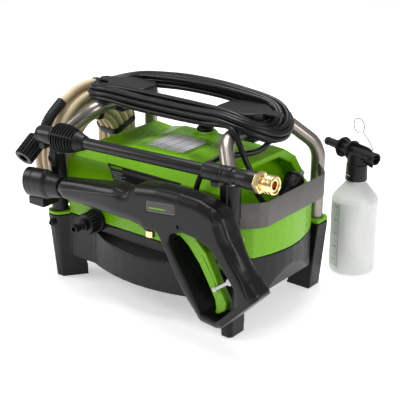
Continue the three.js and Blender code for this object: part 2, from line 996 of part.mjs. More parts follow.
function trigger() {
  const outline = [
    [119, 186],
    [116, 178],
    [106, 160],
    [118, 160],
    [133, 149],
    [152, 127],
    [170, 97],
    [180, 79],
    [182, 66],
    [180, 59],
    [186, 58],
    [199, 67],
    [201, 80],
    [189, 100],
    [173, 131],
    [165, 146],
    [146, 163],
    [138, 180],
    [130, 188],
  ];
  const body = solid(prismY(outline, GUN_Y - 7, GUN_Y + 7, [], 1.5));
  const [px, pz] = TRIGGER_PIVOT;
  return body.subtract(solid(rod([px, GUN_Y - 30, pz], [px, GUN_Y + 30, pz], 3.1, 12)));
}

function triggerPin() {
  const [px, pz] = TRIGGER_PIVOT;
  return rod([px, GUN_Y - 19, pz], [px, GUN_Y + 19, pz], 2.6, 12);
}

// Lock bar between the grip and the near side of the trigger.
function triggerLatch() {
  const [lx, lz] = LATCH_PIVOT;
  const y = GUN_Y - 10;
  const eye = solid(rod([lx, y - 3, lz], [lx, y + 2, lz], 5.2, 14));
  const bar = solid(rod([lx, y, lz], [183, y, 98], 2.4, 10));
  return eye.add(bar).add(solid(rod([183, y - 3, 98], [183, y + 2.4, 98], 3.6, 12)));
}

function gunInlet() {
  const body = solid(rod([57.9, GUN_Y, 162], [56.6, GUN_Y, 142], 7.4, 14));
  return body.subtract(solid(rod([57.5, GUN_Y, 158], [56.5, GUN_Y, 140], 4, 10)));
}

// ---------------------------------------------------------------- lance
const lance = new THREE.Group();
lance.position.set(0, LANCE_Y, LANCE_Z);
lance.rotation.y = -LANCE_TILT;
group.add(lance);

function lanceGuard() {
  const rings = 8;
  const profile = [
    [-128, 9.6],
    [-128, 19],
  ];
  for (let i = 0; i < rings; i += 1) {
    const x = -126.5 + i * 5;
    const swell = 22.5 - Math.pow(i / rings, 2) * 7;
    profile.push([x, swell], [x + 2.6, swell], [x + 3.4, swell - 2.6]);
  }
  profile.push([-86, 14.5], [-72, 10.6], [-72, 9.6], [-128, 9.6]);
  return turned(profile, 14);
}

function lanceNozzle() {
  return turned(
    [
      [-160, 0],
      [-160, 3],
      [-171, 3],
      [-171, 12],
      [-168, 13.6],
      [-138, 13.8],
      [-134, 12],
      [-128.4, 12],
      [-128.4, 0],
    ],
    14,
  );
}

function lanceSocket() {
  const hex = solid(turned([[241.4, 0], [241.4, 15.2], [251, 15.2], [251, 0]], 6));
  const neck = solid(rod([246, 0, 0], [269, 0, 0], 9.4, 16));
  return hex.add(neck).subtract(solid(rod([250, 0, 0], [274, 0, 0], 6, 14)));
}

function lanceCoupler() {
  return turned(
    [
      [255.6, 9.9],
      [255.6, 11.6],
      [257, 13],
      [261, 13],
      [262, 12.5],
      [263, 13],
      [269, 13],
      [271, 12],
      [271, 9.9],
      [255.6, 9.9],
    ],
    16,
  );
}

// ---------------------------------------------------------------- foam bottle
const bottleGroup = new THREE.Group();
bottleGroup.position.set(BOTTLE[0], BOTTLE[1], 0);
group.add(bottleGroup);
const headGroup = new THREE.Group();
headGroup.rotation.z = HEAD_TURN;
bottleGroup.add(headGroup);

function bottle() {
  return turnedZ([
    [0, 0],
    [33, 0],
    [38, 5],
    [38, 127],
    [36, 132],
    [17, 157],
    [15.6, 160],
    [15.6, 176],
    [13, 176],
    [13, 159],
    [34, 130],
    [36, 126],
    [36, 6],
    [32, 2.4],
    [0, 2.4],
  ], 20);
}

function bottleCap() {
  const outer = solid(prismZ(ribbed(17.6, 0.9, 11), 159.8, 187));
  const thread = solid(rod([0, 0, 150], [0, 0, 177], 16.3, 16));
  const neck = solid(rod([0, 0, 170], [0, 0, 190], 12.6, 14));
  const shoulder = solid(rod([0, 0, 150], [0, 0, 161.6], 23, 16, 16.3));
  return outer.subtract(thread).subtract(neck).subtract(shoulder);
}

function foamHead() {
  const axis = 205;
  let body = solid(
    turned([
      [-76, 0],
      [-76, 5.5],
      [-74, 7],
      [-68, 7],
      [-67, 5.6],
      [-64, 5.6],
      [-63, 7],
      [-46, 7],
      [-44, 9.5],
      [-36, 9.5],
      [-35, 17],
      [-32, 17],
      [-31, 8.5],
      [-14, 8.5],
      [-13, 16.5],
      [-10, 16.5],
      [-9, 8],
      [10, 8.5],
      [43, 9.5],
      [43, 6.5],
      [30, 6.5],
      [30, 0],
    ], 14).translate(0, 0, axis),
  );
  body = body.add(solid(rod([0, 0, 177.6], [0, 0, axis], 12, 14)));
  const fin = [
    [-11, axis - 2],
    [38, axis - 2],
    [38, axis + 9],
    [26, axis + 15],
    [-11, axis + 15],
  ];
  body = body.add(solid(prismY(fin, -1.5, 1.5)));
  const below = [
    [10, axis + 2],
    [10, axis - 12],
    [36, axis - 17],
    [38, axis + 2],
  ];
  body = body.add(solid(prismY(below, -1.5, 1.5)));
  body = body.add(solid(box(-33, 28, -14, 14, axis - 1.2, axis + 1.2)));
  return body.subtract(solid(rod([33, 0, axis + 8], [33, 0, axis + 30], 1.9, 8)));
}

// Wire for cleaning the nozzle, with a finger ring, pushed into the head's fin.
function cleaningPin() {
  const centre = [0, 250];
  const radius = 12;
  const start = -0.9;
  const loop = Array.from({ length: 13 }, (_, i) => {
    const a = start + 0.25 + ((2 * Math.PI - 0.5) * i) / 12;
    return [centre[0] + radius * Math.cos(a), 0, centre[1] + radius * Math.sin(a)];
  });
  const leg = [
    [33, 0, 213.5],
    [33, 0, 220],
    [28, 0, 227],
    [18, 0, 236],
  ];
  return tube(smooth([...leg, ...loop], 26), 0.7, 5);
}

// ---------------------------------------------------------------- washer
node("base_tub", baseTub(), "black");
node("top_cover", topCover(), "green");
node("left_frame_tube", endFrame(-1), "steel");
node("right_frame_tube", endFrame(1), "steel");
node("front_left_sleeve", sleeve(-1), "black");
node("front_right_sleeve", sleeve(1), "black");
for (const [name, sx, sy] of SIDES.slice(0, 2)) {
  const [x, z] = [POST_X * sx, 205];
  const shank = solid(rod([x, -127.8, z], [x, -129, z], 2.6, 10));
  const head = solid(rod([x, -128, z], [x, -131, z], 4.8, 10));
  node(name + "_sleeve_screw", shank.add(head), "blackSoft");
  const bolt = solid(rod([x, -134.4 * sy, 98], [x, -125.6 * sy, 98], 3, 10));
  const washer = solid(rod([x, -134.6 * sy, 98], [x, -132.4 * sy, 98], 6.6, 14));
  const cap = solid(rod([x, -139 * sy, 98], [x, -134 * sy, 98], 4.6, 6));
  node(name + "_leg_bolt", bolt.add(washer).add(cap), "blackSoft");
}
node("left_hook_plate", hookPlate(-1), "black");
node("right_hook_plate", hookPlate(1), "black");
node("handle_bar", handleBar(), "black");
node("side_band", sideBand(), "band");
node("top_label", topLabel(0), "label");
node("front_label", frontLabelPrism(0), "blackSoft");

// ---------------------------------------------------------------- drive and water way
node("motor", motorBody(), "zinc");
node("motor_cradle", motorCradle(), "black");
node("drive_shaft", driveShaft(), "zinc");
node("motor_fan", motorFan(), "blackSoft");
node("pump", pumpHead(), "alloy");
node("pressure_switch", box(-150, -110, -18, 18, 142.4, 164), "blackSoft");
node("power_switch", box(KNOB[0] - 14, KNOB[0] + 14, 24, 52, 200, 226), "blackSoft");

const knobShape = solid(prismZ(ribbed(13.5, 1, 10), 247.4, 252));
const knobGrip = solid(prismZ(circle(11, 16), 251.5, 267));
const knobStem = solid(rod([0, 0, 226.4], [0, 0, 248], 4.6, 12));
const knob = geometryOf(knobShape.add(knobGrip).add(knobStem)).translate(...KNOB, 0);
node("power_knob", knob, "blackSoft");

const flange = solid(rod([INLET[0], FRONT_Y - 0.3, INLET[1]], [INLET[0], -120.6, INLET[1]], 19, 20));
const spigot = solid(rod([INLET[0], -140.7, INLET[1]], [INLET[0], -104, INLET[1]], 8.8, 14));
node("inlet_fitting", flange.add(spigot), "blackSoft");
node("inlet_nut", inletNut(), "blackSoft");
node("inlet_nipple", inletNipple(), "blackSoft");
node("inlet_pipe", tube(smooth(inletRoute, 9), 5.5, 8), "blackSoft");
node("outlet_pipe", tube(smooth(outletRoute, 9), 5.5, 8), "blackSoft");

// ---------------------------------------------------------------- mains cord
node("power_cord_winding", cordWinding(), "blackSoft");
node("power_cord_lead", tube(smooth(cordLeadPoints, 15), CORD_R, 8), "blackSoft");
node("power_cord_tail", tube(smooth(cordTailPoints, 18), CORD_R, 8), "blackSoft");
const reliefFoot = solid(box(104, 120, -127.5, FRONT_Y - 0.3, 150, 160));
const relief = solid(rod([112, -120.5, 158], [112, -120.5, 186], 6.8, 12, 5.4));
node("cord_strain_relief", reliefFoot.add(relief), "blackSoft");
node("power_plug", plugBody(), "blackSoft");
node("plug_blade_left", plugBlade(-1), "zinc");
node("plug_blade_right", plugBlade(1), "zinc");

// ---------------------------------------------------------------- hose
node("hose_outlet", hoseOutlet(), "blackSoft");
node("hose_lead", tube(smooth(hoseLeadPoints, 7), HOSE_R, 10), "hose");
node("hose_coil", hoseCoil(), "hose");
node("hose_tail", tube(smooth(hoseTailPoints, 24), HOSE_R, 9), "hose");
node("hose_sleeve", tube(smooth(hoseSleevePoints, 7), 8.5, 10), "blackSoft");
node("hose_nut", hoseNut(), "blackSoft");
node("hose_tie_top", hoseTie(80), "blackSoft");
node("hose_tie_rear", hoseTie(18), "blackSoft");

// ---------------------------------------------------------------- gun, lance, bottle
const [nearShell, farShell] = gunShells();
node("gun_shell_front", nearShell, "black");
node("gun_shell_rear", farShell, "black");
node("trigger", trigger(), "green");
node("trigger_pin", triggerPin(), "zinc");
node("trigger_latch", triggerLatch(), "latch");
node("gun_inlet", gunInlet(), "brass");

node("lance_tube", turned([[-127.6, 0], [-127.6, 9], [153.6, 9], [153.6, 0]], 16), "black", lance);
node("lance_guard", lanceGuard(), "blackSoft", lance);
node("lance_nozzle", lanceNozzle(), "black", lance);
const gripProfile = [
  [154, 0],
  [154, 12.5],
  [202, 12.5],
  [203, 10.5],
  [210, 10.5],
  [211, 11.5],
  [230, 13],
  [241, 12.5],
  [241, 0],
];
node("lance_grip", turned(gripProfile, 20), "black", lance);
node("lance_socket", lanceSocket(), "brass", lance);
node("lance_coupler", lanceCoupler(), "brass", lance);

node("foam_bottle", bottle(), "white", bottleGroup);
node("bottle_cap", bottleCap(), "blackSoft", bottleGroup);
node("foam_head", foamHead(), "blackSoft", headGroup);
node("cleaning_pin", cleaningPin(), "zinc", headGroup);

group.position.set(...OFFSET);

export default group;
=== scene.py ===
"""Looks of an electric pressure washer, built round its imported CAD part.

Sizes are millimetres in the machine's own frame, as in the CAD source: x to the right, y to the back, z up,
with the middle of the machine at x = y = 0. at() turns them into metres in the row frame.
"""

import json
import math

import bmesh
import bpy
import numpy as np
from mathutils import Matrix, Vector
from mathutils.bvhtree import BVHTree


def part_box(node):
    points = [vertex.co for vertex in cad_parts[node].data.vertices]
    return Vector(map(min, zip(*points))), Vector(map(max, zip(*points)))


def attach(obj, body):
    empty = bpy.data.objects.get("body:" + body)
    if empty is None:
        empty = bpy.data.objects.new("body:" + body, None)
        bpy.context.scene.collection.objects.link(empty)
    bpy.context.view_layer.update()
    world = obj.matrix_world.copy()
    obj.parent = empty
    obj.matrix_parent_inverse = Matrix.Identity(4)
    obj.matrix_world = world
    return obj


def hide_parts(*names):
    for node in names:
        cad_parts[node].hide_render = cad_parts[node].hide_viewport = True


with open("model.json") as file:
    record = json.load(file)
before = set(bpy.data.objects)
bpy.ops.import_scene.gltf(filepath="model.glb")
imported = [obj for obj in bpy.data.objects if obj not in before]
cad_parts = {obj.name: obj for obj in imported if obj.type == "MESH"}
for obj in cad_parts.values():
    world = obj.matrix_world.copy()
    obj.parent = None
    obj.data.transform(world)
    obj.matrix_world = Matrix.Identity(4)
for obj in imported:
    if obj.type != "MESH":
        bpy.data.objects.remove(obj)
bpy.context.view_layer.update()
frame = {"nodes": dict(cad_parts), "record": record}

KNOB = (8, 38)
knob_low, knob_high = (Vector(corner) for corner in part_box("power_knob"))
SHIFT = (knob_low + knob_high) / 2 - Vector((KNOB[0] / 1000, KNOB[1] / 1000, 0))


def at(x, y, z):
    return Vector((x / 1000 + SHIFT.x, y / 1000 + SHIFT.y, z / 1000))


# ---------------------------------------------------------------- driving dimensions, as in the CAD source
POST_X, POST_Y = 171, 114
TUBE_R = 11
UP, BACKWARD, FORWARD = (0, 0, 1), (0, 1, 0), (0, -1, 0)
SOCKET_Z, BEND_LOW_Z, BEND_R = 40, 235, 42
RAIL_X, RAIL_Y, RAIL_Z = 128, 71, 283
GUN_Y = -154
GUN_HALF = 22
TRIGGER_PIVOT = (126, 181)
LATCH_PIVOT = (209, 117)
LANCE_START = (0, -150, 259.2)
LANCE_WAY = (math.cos(0.034), 0, math.sin(0.034))
INLET = (-91, 117)
OUTLET_Y = -70
BOTTLE = (193, 199)
HEAD_TURN = -0.307
NUT_MIDDLE = Vector((-205, -138, 219))
NUT_WAY = Vector((0, -0.82, -0.572)).normalized()
CORD_D = 8.5
HOSE_D = 13
COIL = {"x": -205, "y": -4, "z": 191, "outer_turn": 104.8, "pitch": 13.2}
WINDING = {"straight": 121, "half": 48.5}
PLUG_AT = (183.5, -3, 188.6)
PLUG_WAY = (-0.08, 0.93, 0.36)


# ---------------------------------------------------------------- camera
def make_camera():
    """Camera fitted to the photo, aimed at a point in the machine's middle."""
    yaw, pitch, distance = math.radians(38.21), math.radians(21.35), 1637.99
    target = Vector((36.93, -12.54, 150))
    back = Vector((math.sin(yaw) * math.cos(pitch), -math.cos(yaw) * math.cos(pitch), math.sin(pitch)))
    data = bpy.data.cameras.new("camera")
    data.lens, data.sensor_width = 94.2, 36
    camera = bpy.data.objects.new("camera", data)
    camera.location = at(*(target + back * distance))
    camera.rotation_euler = (math.pi / 2 - pitch, 0, yaw)
    bpy.context.scene.collection.objects.link(camera)
    bpy.context.scene.camera = camera


make_camera()


# ---------------------------------------------------------------- mesh helpers
def shown(name, mesh, sharp=40):
    """Object of a mesh, smooth except at edges sharper than an angle."""
    mesh.shade_smooth()
    mesh.set_sharp_from_angle(angle=math.radians(sharp))
    thing = bpy.data.objects.new(name, mesh)
    bpy.context.scene.collection.objects.link(thing)
    return thing


def mesh_of(vertices, faces, merge=True):
    mesh = bpy.data.meshes.new("mesh")
    mesh.from_pydata([tuple(v) for v in vertices], [], faces)
    bm = bmesh.new()
    bm.from_mesh(mesh)
    if merge:
        bmesh.ops.remove_doubles(bm, verts=bm.verts, dist=1e-6)
    bmesh.ops.recalc_face_normals(bm, faces=bm.faces)
    bm.to_mesh(mesh)
    bm.free()
    return mesh


def ring_faces(rings, sides, closed=False):
    """Faces between rings of vertices that follow each other, and from the last to the first if closed."""
    faces = []
    for i in range(rings if closed else rings - 1):
        here, after = i * sides, (i + 1) % rings * sides
        for k in range(sides):
            nxt = (k + 1) % sides
            faces.append((here + k, here + nxt, after + nxt, after + k))
    return faces


def grid_faces(rows, columns):
    """Faces of a grid of vertices, row by row."""
    faces = []
    for i in range(rows):
        for k in range(columns):
            first = i * (columns + 1) + k
            faces.append((first, first + 1, first + columns + 2, first + columns + 1))
    return faces


def joined(meshes):
    """One mesh of several."""
    bm = bmesh.new()
    for mesh in meshes:
        bm.from_mesh(mesh)
    out = bpy.data.meshes.new("mesh")
    bm.to_mesh(out)
    bm.free()
    return out


def filleted(points, radius, steps=5, closed=True):
    """Outline with each corner turned into a soft curve."""
    out = []
    for i, corner in enumerate(points):
        here = Vector(corner)
        if not closed and i in (0, len(points) - 1):
            out.append(here)
            continue
        before = Vector(points[i - 1]) - here
        after = Vector(points[(i + 1) % len(points)]) - here
        half = before.angle(after) / 2
        reach = min(radius / max(math.tan(half), 0.05), before.length * 0.48, after.length * 0.48)
        start = here + before.normalized() * reach
        end = here + after.normalized() * reach
        for k in range(steps + 1):
            t = k / steps
            out.append(start * (1 - t) ** 2 + here * 2 * t * (1 - t) + end * t * t)
    return out


def turned(profile, origin, way, sides=64, ribs=None, soften=0.5):
    """Turned mesh: profile of (distance along the axis, radius), with ribs = (count, depth, from, to)."""
    outline = filleted(profile, soften, 3, closed=False)
    turn = Vector((1, 0, 0)).rotation_difference(Vector(way).normalized())
    vertices = []
    for along, radius in outline:
        for k in range(sides):
            angle = 2 * math.pi * k / sides
            r = radius
            if ribs and ribs[2] <= along <= ribs[3]:
                r -= ribs[1] * min(1, max(0, 0.5 - 1.3 * math.cos(ribs[0] * angle)))
            vertices.append(
                at(*(turn @ Vector((along, r * math.cos(angle), r * math.sin(angle))) + Vector(origin)))
            )
    return mesh_of(vertices, ring_faces(len(outline), sides))


def frames_along(centres):
    """Two directions across a path at each of its points, carried along without twist."""
    along = np.gradient(centres, axis=0)
    along /= np.linalg.norm(along, axis=1)[:, None]
    side = np.cross(along[0], (0.31, 0.17, 0.93))
    across, over = [], []
    for direction in along:
        side = side - direction * side.dot(direction)
        side /= np.linalg.norm(side)
        across.append(side)
        over.append(np.cross(direction, side))
    return np.array(across), np.array(over)


def run_along(points):
    """Distance of each point from the first, along a path."""
    return np.concatenate([[0], np.cumsum(np.linalg.norm(np.diff(points, axis=0), axis=1))])


def tube(centres, radius, sides=16):
    """Round tube along points in metres, with u its length in metres. radius is one, or one per point."""
    centres = np.array(centres, float)
    across, over = frames_along(centres)
    radii = np.broadcast_to(np.asarray(radius, float), len(centres))
    vertices = []
    for centre, a, b, r in zip(centres, across, over, radii):
        for k in range(sides):
            angle = 2 * math.pi * k / sides
            vertices.append(centre + r * (a * math.cos(angle) + b * math.sin(angle)))
    last = (len(centres) - 1) * sides
    caps = [tuple(reversed(range(sides))), tuple(range(last, last + sides))]
    mesh = mesh_of(vertices, ring_faces(len(centres), sides) + caps, merge=False)
    length = run_along(centres)
    uv = mesh.uv_layers.new(name="along")
    for loop in mesh.loops:
        ring, k = divmod(loop.vertex_index, sides)
        uv.data[loop.index].uv = (length[ring], abs(2 * k / sides - 1))
    return mesh


def spline(points, step=5.0):
    """Even points in metres along a soft curve through machine points."""
    p = np.array([tuple(point) for point in points], float)
    p = np.vstack([2 * p[0] - p[1], p, 2 * p[-1] - p[-2]])
    fine = []
    for i in range(1, len(p) - 2):
        t = np.linspace(0, 1, 24, endpoint=False)[:, None]
        a, b, c, d = p[i - 1], p[i], p[i + 1], p[i + 2]
        fine.append(
            0.5 * (2 * b + (c - a) * t + (2 * a - 5 * b + 4 * c - d) * t**2 + (3 * b - a - 3 * c + d) * t**3)
        )
    fine = np.vstack([*fine, p[-2:-1]])
    run = run_along(fine)
    where = np.linspace(0, run[-1], max(3, round(run[-1] / step) + 1))
    even = np.stack([np.interp(where, run, fine[:, k]) for k in range(3)], axis=1)
    return [at(*point) for point in even]


def prism(outline, y_front, y_back, holes=(), rounding=2.0):
    """Extruded outline in the XZ plane between two y, with rounded edges and holes."""
    data = bpy.data.curves.new("prism", "CURVE")
    data.dimensions = "2D"
    data.fill_mode = "BOTH"
    data.extrude = ((y_back - y_front) / 2 - rounding) / 1000
    data.bevel_depth = rounding / 1000
    data.bevel_resolution = 4
    data.offset = -rounding / 1000
    for ring in (outline, *holes):
        line = data.splines.new("POLY")
        line.points.add(len(ring) - 1)
        for point, (x, z) in zip(line.points, ring):
            point.co = (x / 1000, z / 1000, 0, 1)
        line.use_cyclic_u = True
    holder = bpy.data.objects.new("prism", data)
    mesh = bpy.data.meshes.new_from_object(holder)
    bpy.data.objects.remove(holder)
    turn = Matrix.Rotation(math.pi / 2, 4, "X")
    middle = at(0, (y_front + y_back) / 2, 0)
    mesh.transform(Matrix.Translation(middle) @ turn)
    return mesh


def applied(thing):
    """The thing's mesh with its modifiers made real."""
    seen = thing.evaluated_get(bpy.context.evaluated_depsgraph_get())
    mesh = bpy.data.meshes.new_from_object(seen)
    thing.modifiers.clear()
    thing.data = mesh
    return thing


def skin(name, meshes, voxel, passes):
    """One closed skin round some meshes, its edges rounded by smoothing. voxel is in millimetres."""
    thing = bpy.data.objects.new(name, joined(meshes))
    bpy.context.scene.collection.objects.link(thing)
    remesh = thing.modifiers.new("skin", "REMESH")
    remesh.mode = "VOXEL"
    remesh.voxel_size = voxel / 1000
    remesh.use_smooth_shade = True
    soften = thing.modifiers.new("soften", "SMOOTH")
    soften.factor = 0.5
    soften.iterations = passes
    return applied(thing)


def cut(thing, mesh):
    """Cuts one mesh out of a thing."""
    tool = bpy.data.objects.new("cutter", mesh)
    bpy.context.scene.collection.objects.link(tool)
    modifier = thing.modifiers.new("cut", "BOOLEAN")
    modifier.operation = "DIFFERENCE"
    modifier.solver = "EXACT"
    modifier.object = tool
    applied(thing)
    bpy.data.objects.remove(tool)
    return thing


def cad(node):
    return frame["nodes"][node].data


def dress(thing, finish, body, *nodes):
    """Gives a piece its material, slot and body, and hides the CAD nodes that it stands for."""
    thing.data.materials.clear()
    thing.data.materials.append(finish)
    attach(thing, body)
    if nodes:
        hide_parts(*nodes)
    return thing


def piece(name, mesh, finish, body, *nodes):
    return dress(shown(name, mesh), finish, body, *nodes)


# ---------------------------------------------------------------- materials
def linear(colour):
    """Linear colour of an sRGB hex number."""
    parts = [((colour >> shift) & 255) / 255 for shift in (16, 8, 0)]
    return [p / 12.92 if p <= 0.04045 else ((p + 0.055) / 1.055) ** 2.4 for p in parts] + [1]


class Finish:
    """A material under construction: its Principled shader and short ways to add detail."""

    def __init__(self, name, roughness, metallic=0.0, **inputs):
        self.material = bpy.data.materials.new(name)
        self.material.use_nodes = True
        self.nodes = self.material.node_tree.nodes
        self.links = self.material.node_tree.links
        self.shader = self.nodes["Principled BSDF"]
        self.fill(self.shader, Roughness=roughness, Metallic=metallic, **inputs)
        self.place = self.nodes.new("ShaderNodeTexCoord")

    def fill(self, node, **inputs):
        """Sets some inputs of a node. An underscore in a name stands for a space."""
        for name, value in inputs.items():
            node.inputs[name.replace("_", " ")].default_value = value
        return node

    def node(self, kind, **inputs):
        return self.fill(self.nodes.new("ShaderNode" + kind), **inputs)

    def noise(self, size_mm, stretch=(1, 1, 1), detail=3.0):
        mapping = self.node("Mapping", Scale=stretch)
        texture = self.node("TexNoise", Scale=1000 / size_mm, Detail=detail)
        self.links.new(self.place.outputs["Object"], mapping.inputs["Vector"])
        self.links.new(mapping.outputs["Vector"], texture.inputs["Vector"])
        return texture.outputs["Fac"]

    def spread(self, value, low, high):
        """A value from 0.3 to 0.7 spread over another range."""
        node = self.node("MapRange", From_Min=0.3, From_Max=0.7, To_Min=low, To_Max=high)
        self.links.new(value, node.inputs["Value"])
        return node.outputs["Result"]

    def blend(self, value, first, second):
        node = self.node("Mix")
        node.data_type = "RGBA"
        for socket, colour in ((6, first), (7, second)):
            if isinstance(colour, (list, tuple)):
                node.inputs[socket].default_value = colour
            else:
                self.links.new(colour, node.inputs[socket])
        self.links.new(value, node.inputs[0])
        return node.outputs[2]

    def cloudy(self, size_mm, first, second, stretch=(1, 1, 1)):
        """Two colours blended by a noise of a size."""
        return self.blend(self.spread(self.noise(size_mm, stretch), 0, 1), first, second)

    def colour(self, value):
        self.links.new(value, self.shader.inputs["Base Color"])

    def uneven(self, value, low, high):
        """Roughness that follows a value."""
        self.links.new(self.spread(value, low, high), self.shader.inputs["Roughness"])

    def relief(self, height, strength, depth_mm):
        bump = self.node("Bump", Strength=strength, Distance=depth_mm / 1000)
        self.links.new(height, bump.inputs["Height"])
        old = self.shader.inputs["Normal"]
        if old.is_linked:
            self.links.new(old.links[0].from_socket, bump.inputs["Normal"])
        self.links.new(bump.outputs["Normal"], old)

    def worn_edges(self, base, pale, amount):
        """Paler colour where the surface is sharply convex."""
        geometry = self.node("NewGeometry")
        node = self.node("MapRange", From_Min=0.52, From_Max=0.6, To_Max=amount)
        self.links.new(geometry.outputs["Pointiness"], node.inputs["Value"])
        return self.blend(node.outputs["Result"], base, pale)


def scaled(colour, by):
    return [min(1, c * by) for c in colour[:3]] + [1]


def moulded(name, hex_colour, roughness, grain_mm=0.5, relief=0.12, variation=0.08, edge=0.25, shine=0.5):
    """Injection-moulded plastic: fine spark-eroded grain, slight cloudiness, paler rubbed edges."""
    finish = Finish(name, roughness, Specular_IOR_Level=shine)
    colour = linear(hex_colour)
    body = finish.cloudy(38, scaled(colour, 1 - variation), scaled(colour, 1 + variation))
    finish.colour(finish.worn_edges(body, scaled(colour, 1.7), edge) if edge else body)
    finish.uneven(finish.noise(9), roughness - 0.03, roughness + 0.05)
    if relief:
        finish.relief(finish.noise(grain_mm, detail=1.0), relief, 0.08)
    return finish.material


def bare_metal(name, hex_colour, roughness, stretch=(1, 1, 14), metallic=1.0, streak=0.05):
    """Drawn or brushed metal: streaks along one axis and faint stains."""
    finish = Finish(name, roughness, metallic)
    colour = linear(hex_colour)
    streaks = finish.noise(1.2, stretch)
    finish.colour(finish.cloudy(26, scaled(colour, 0.9), scaled(colour, 1.08)))
    finish.uneven(streaks, roughness - streak, roughness + streak)
    finish.relief(streaks, 0.08, 0.05)
    return finish.material


def ribbed_hose(name, hex_colour, pitch_mm, roughness, strength, shine=0.5):
    """Hose or cord with rings across it, from the tube's u coordinate, which is its length in metres."""
    finish = Finish(name, roughness, Specular_IOR_Level=shine)
    colour = linear(hex_colour)
    wave = finish.node("TexWave", Scale=2 * math.pi / (20 * pitch_mm / 1000), Distortion=0.25)
    finish.links.new(finish.place.outputs["UV"], wave.inputs["Vector"])
    dirt = finish.cloudy(22, scaled(colour, 0.86), scaled(colour, 1.06))
    finish.colour(finish.blend(wave.outputs["Fac"], scaled(colour, 0.74), dirt))
    finish.uneven(finish.noise(6), roughness - 0.06, roughness + 0.08)
    finish.relief(wave.outputs["Fac"], strength, 0.45)
    finish.relief(finish.noise(0.6), 0.1, 0.05)
    return finish.material


def blown_bottle(name):
    """Milky polyethylene that lets some light through, with faint streaks of the blow mould."""
    finish = Finish(name, 0.36, Subsurface_Weight=0.55, Subsurface_Scale=0.012)
    finish.fill(finish.shader, Subsurface_Radius=(0.9, 0.95, 1.0))
    clear, milky = (0.62, 0.65, 0.645, 1), (0.76, 0.775, 0.77, 1)
    finish.colour(finish.cloudy(30, clear, milky, (1, 1, 0.3)))
    finish.uneven(finish.noise(12), 0.3, 0.42)
    finish.relief(finish.noise(7, (1, 1, 0.2)), 0.12, 0.25)
    return finish.material


def ruled_panel(name):
    """Blank metal plate with a faint ruled grid."""
    finish = Finish(name, 0.35, 0.5)
    grid = finish.node("TexBrick", Scale=1000, Brick_Width=17, Row_Height=8, Mortar_Size=0.8)
    finish.fill(grid, Color1=(0.72, 0.72, 0.74, 1), Color2=(0.78, 0.78, 0.8, 1), Mortar=(0.3, 0.3, 0.31, 1))
    grid.offset = 0.0
    finish.links.new(finish.place.outputs["Object"], grid.inputs["Vector"])
    finish.colour(grid.outputs["Color"])
    finish.relief(finish.noise(0.7), 0.08, 0.05)
    finish.uneven(finish.noise(8), 0.3, 0.45)
    return finish.material


GREEN = moulded("green_plastic", 0x6DA806, 0.28, relief=0, variation=0.03, edge=0, shine=0.3)
BLACK = moulded("black_plastic", 0x131314, 0.33, relief=0.05, shine=0.26)
BLACK_SOFT = moulded("black_rubber", 0x0F0F10, 0.42, grain_mm=0.8, shine=0.26)
CORD_BLACK = ribbed_hose("cord_sheath", 0x101011, 9.0, 0.33, 0.02, shine=0.28)
HOSE_TAN = ribbed_hose("braided_hose", 0xD6C2A0, 2.3, 0.6, 0.55)
STEEL = bare_metal("frame_paint", 0x8A847D, 0.3, metallic=0.8)
BAND = bare_metal("band_paint", 0x555250, 0.42, (1, 1, 0.08), 0.5)
BRASS = bare_metal("brass", 0xF1D99F, 0.2, (12, 1, 1), streak=0.03)
COPPER = bare_metal("copper_bore", 0xA85A2A, 0.4)
ZINC = bare_metal("zinc", 0xB9BABD, 0.3)
WIRE = bare_metal("spring_wire", 0x5C5D5F, 0.4)
ALLOY = bare_metal("cast_alloy", 0xA3A5A8, 0.5, (1, 1, 1))
RIM_GREY = moulded("badge_rim", 0x5A5654, 0.4)
BADGE_GREY = moulded("badge_plate", 0x35302E, 0.35)
LATCH = moulded("grey_plastic", 0xC4C4C9, 0.4)
BOTTLE_WHITE = blown_bottle("milky_plastic")
SCALE_GREY = moulded("scale_strip", 0xB7C0B6, 0.5, edge=0.0)
INK = moulded("scale_marks", 0x5A605C, 0.6, edge=0.0)
PANEL = ruled_panel("rating_panel")


# ---------------------------------------------------------------- mains cord
LEAD_POINTS = [
    (112, -120.5, 186.3), (112, -120.5, 200), (113, -116, 222), (117, -105, 243), (124, -88, 256),
    (133, -66, 258), (143, -46, 257), (152, -31, 258), (157, -19, 261), (159, -10, 266),
]
TAIL_POINTS = [
    (100, -60, 297.5), (114, -61, 299.3), (128, -62, 299.4), (142, -65, 291), (154, -67.5, 274),
    (164, -68, 256), (173, -66, 238), (178, -62, 213), (185, -51, 193), (190, -36, 183.5),
    (189, -20, 183.5), (185, -8, 186.8),
]
# Where each turn of the winding passes, as (distance outside the middle of the bundle, height), turn by turn.
RIGHT_END = [
    (-6, 266), (2.4, 265.5), (3.6, 274.2), (-5.2, 275), (-7.5, 292.5), (-4, 283.7), (4.8, 283.2),
    (12.5, 277.3), (10.7, 268.6),
]
OVER_RAIL = [
    (-8, 298.6), (0.6, 298.5), (4.8, 306.1), (-3.8, 306), (-8, 313.8), (0.6, 313.6), (9.2, 313.7),
    (13.4, 306.2), (9.2, 298.6),
]
BACK_RUN = [
    (-8, 307), (0.6, 306.5), (1.9, 315.3), (-6.8, 315.3), (-13, 321.3), (-3.9, 323.6), (5, 323.7),
    (10.4, 317), (9.2, 308),
]
LEFT_END = [
    (-6, 282), (2.6, 281.5), (3.2, 290.3), (-5.5, 290.6), (-10.8, 299.5), (-2, 299.5), (7, 299.3),
    (11.8, 291.9), (11, 283),
]
FRONT_RUN = [
    (-5, 292), (3.6, 291.2), (2, 299.8), (-6.3, 300.8), (-7.5, 315.4), (-2.2, 308.4), (6.5, 310.2),
    (10.5, 302.4), (11.5, 294),
]
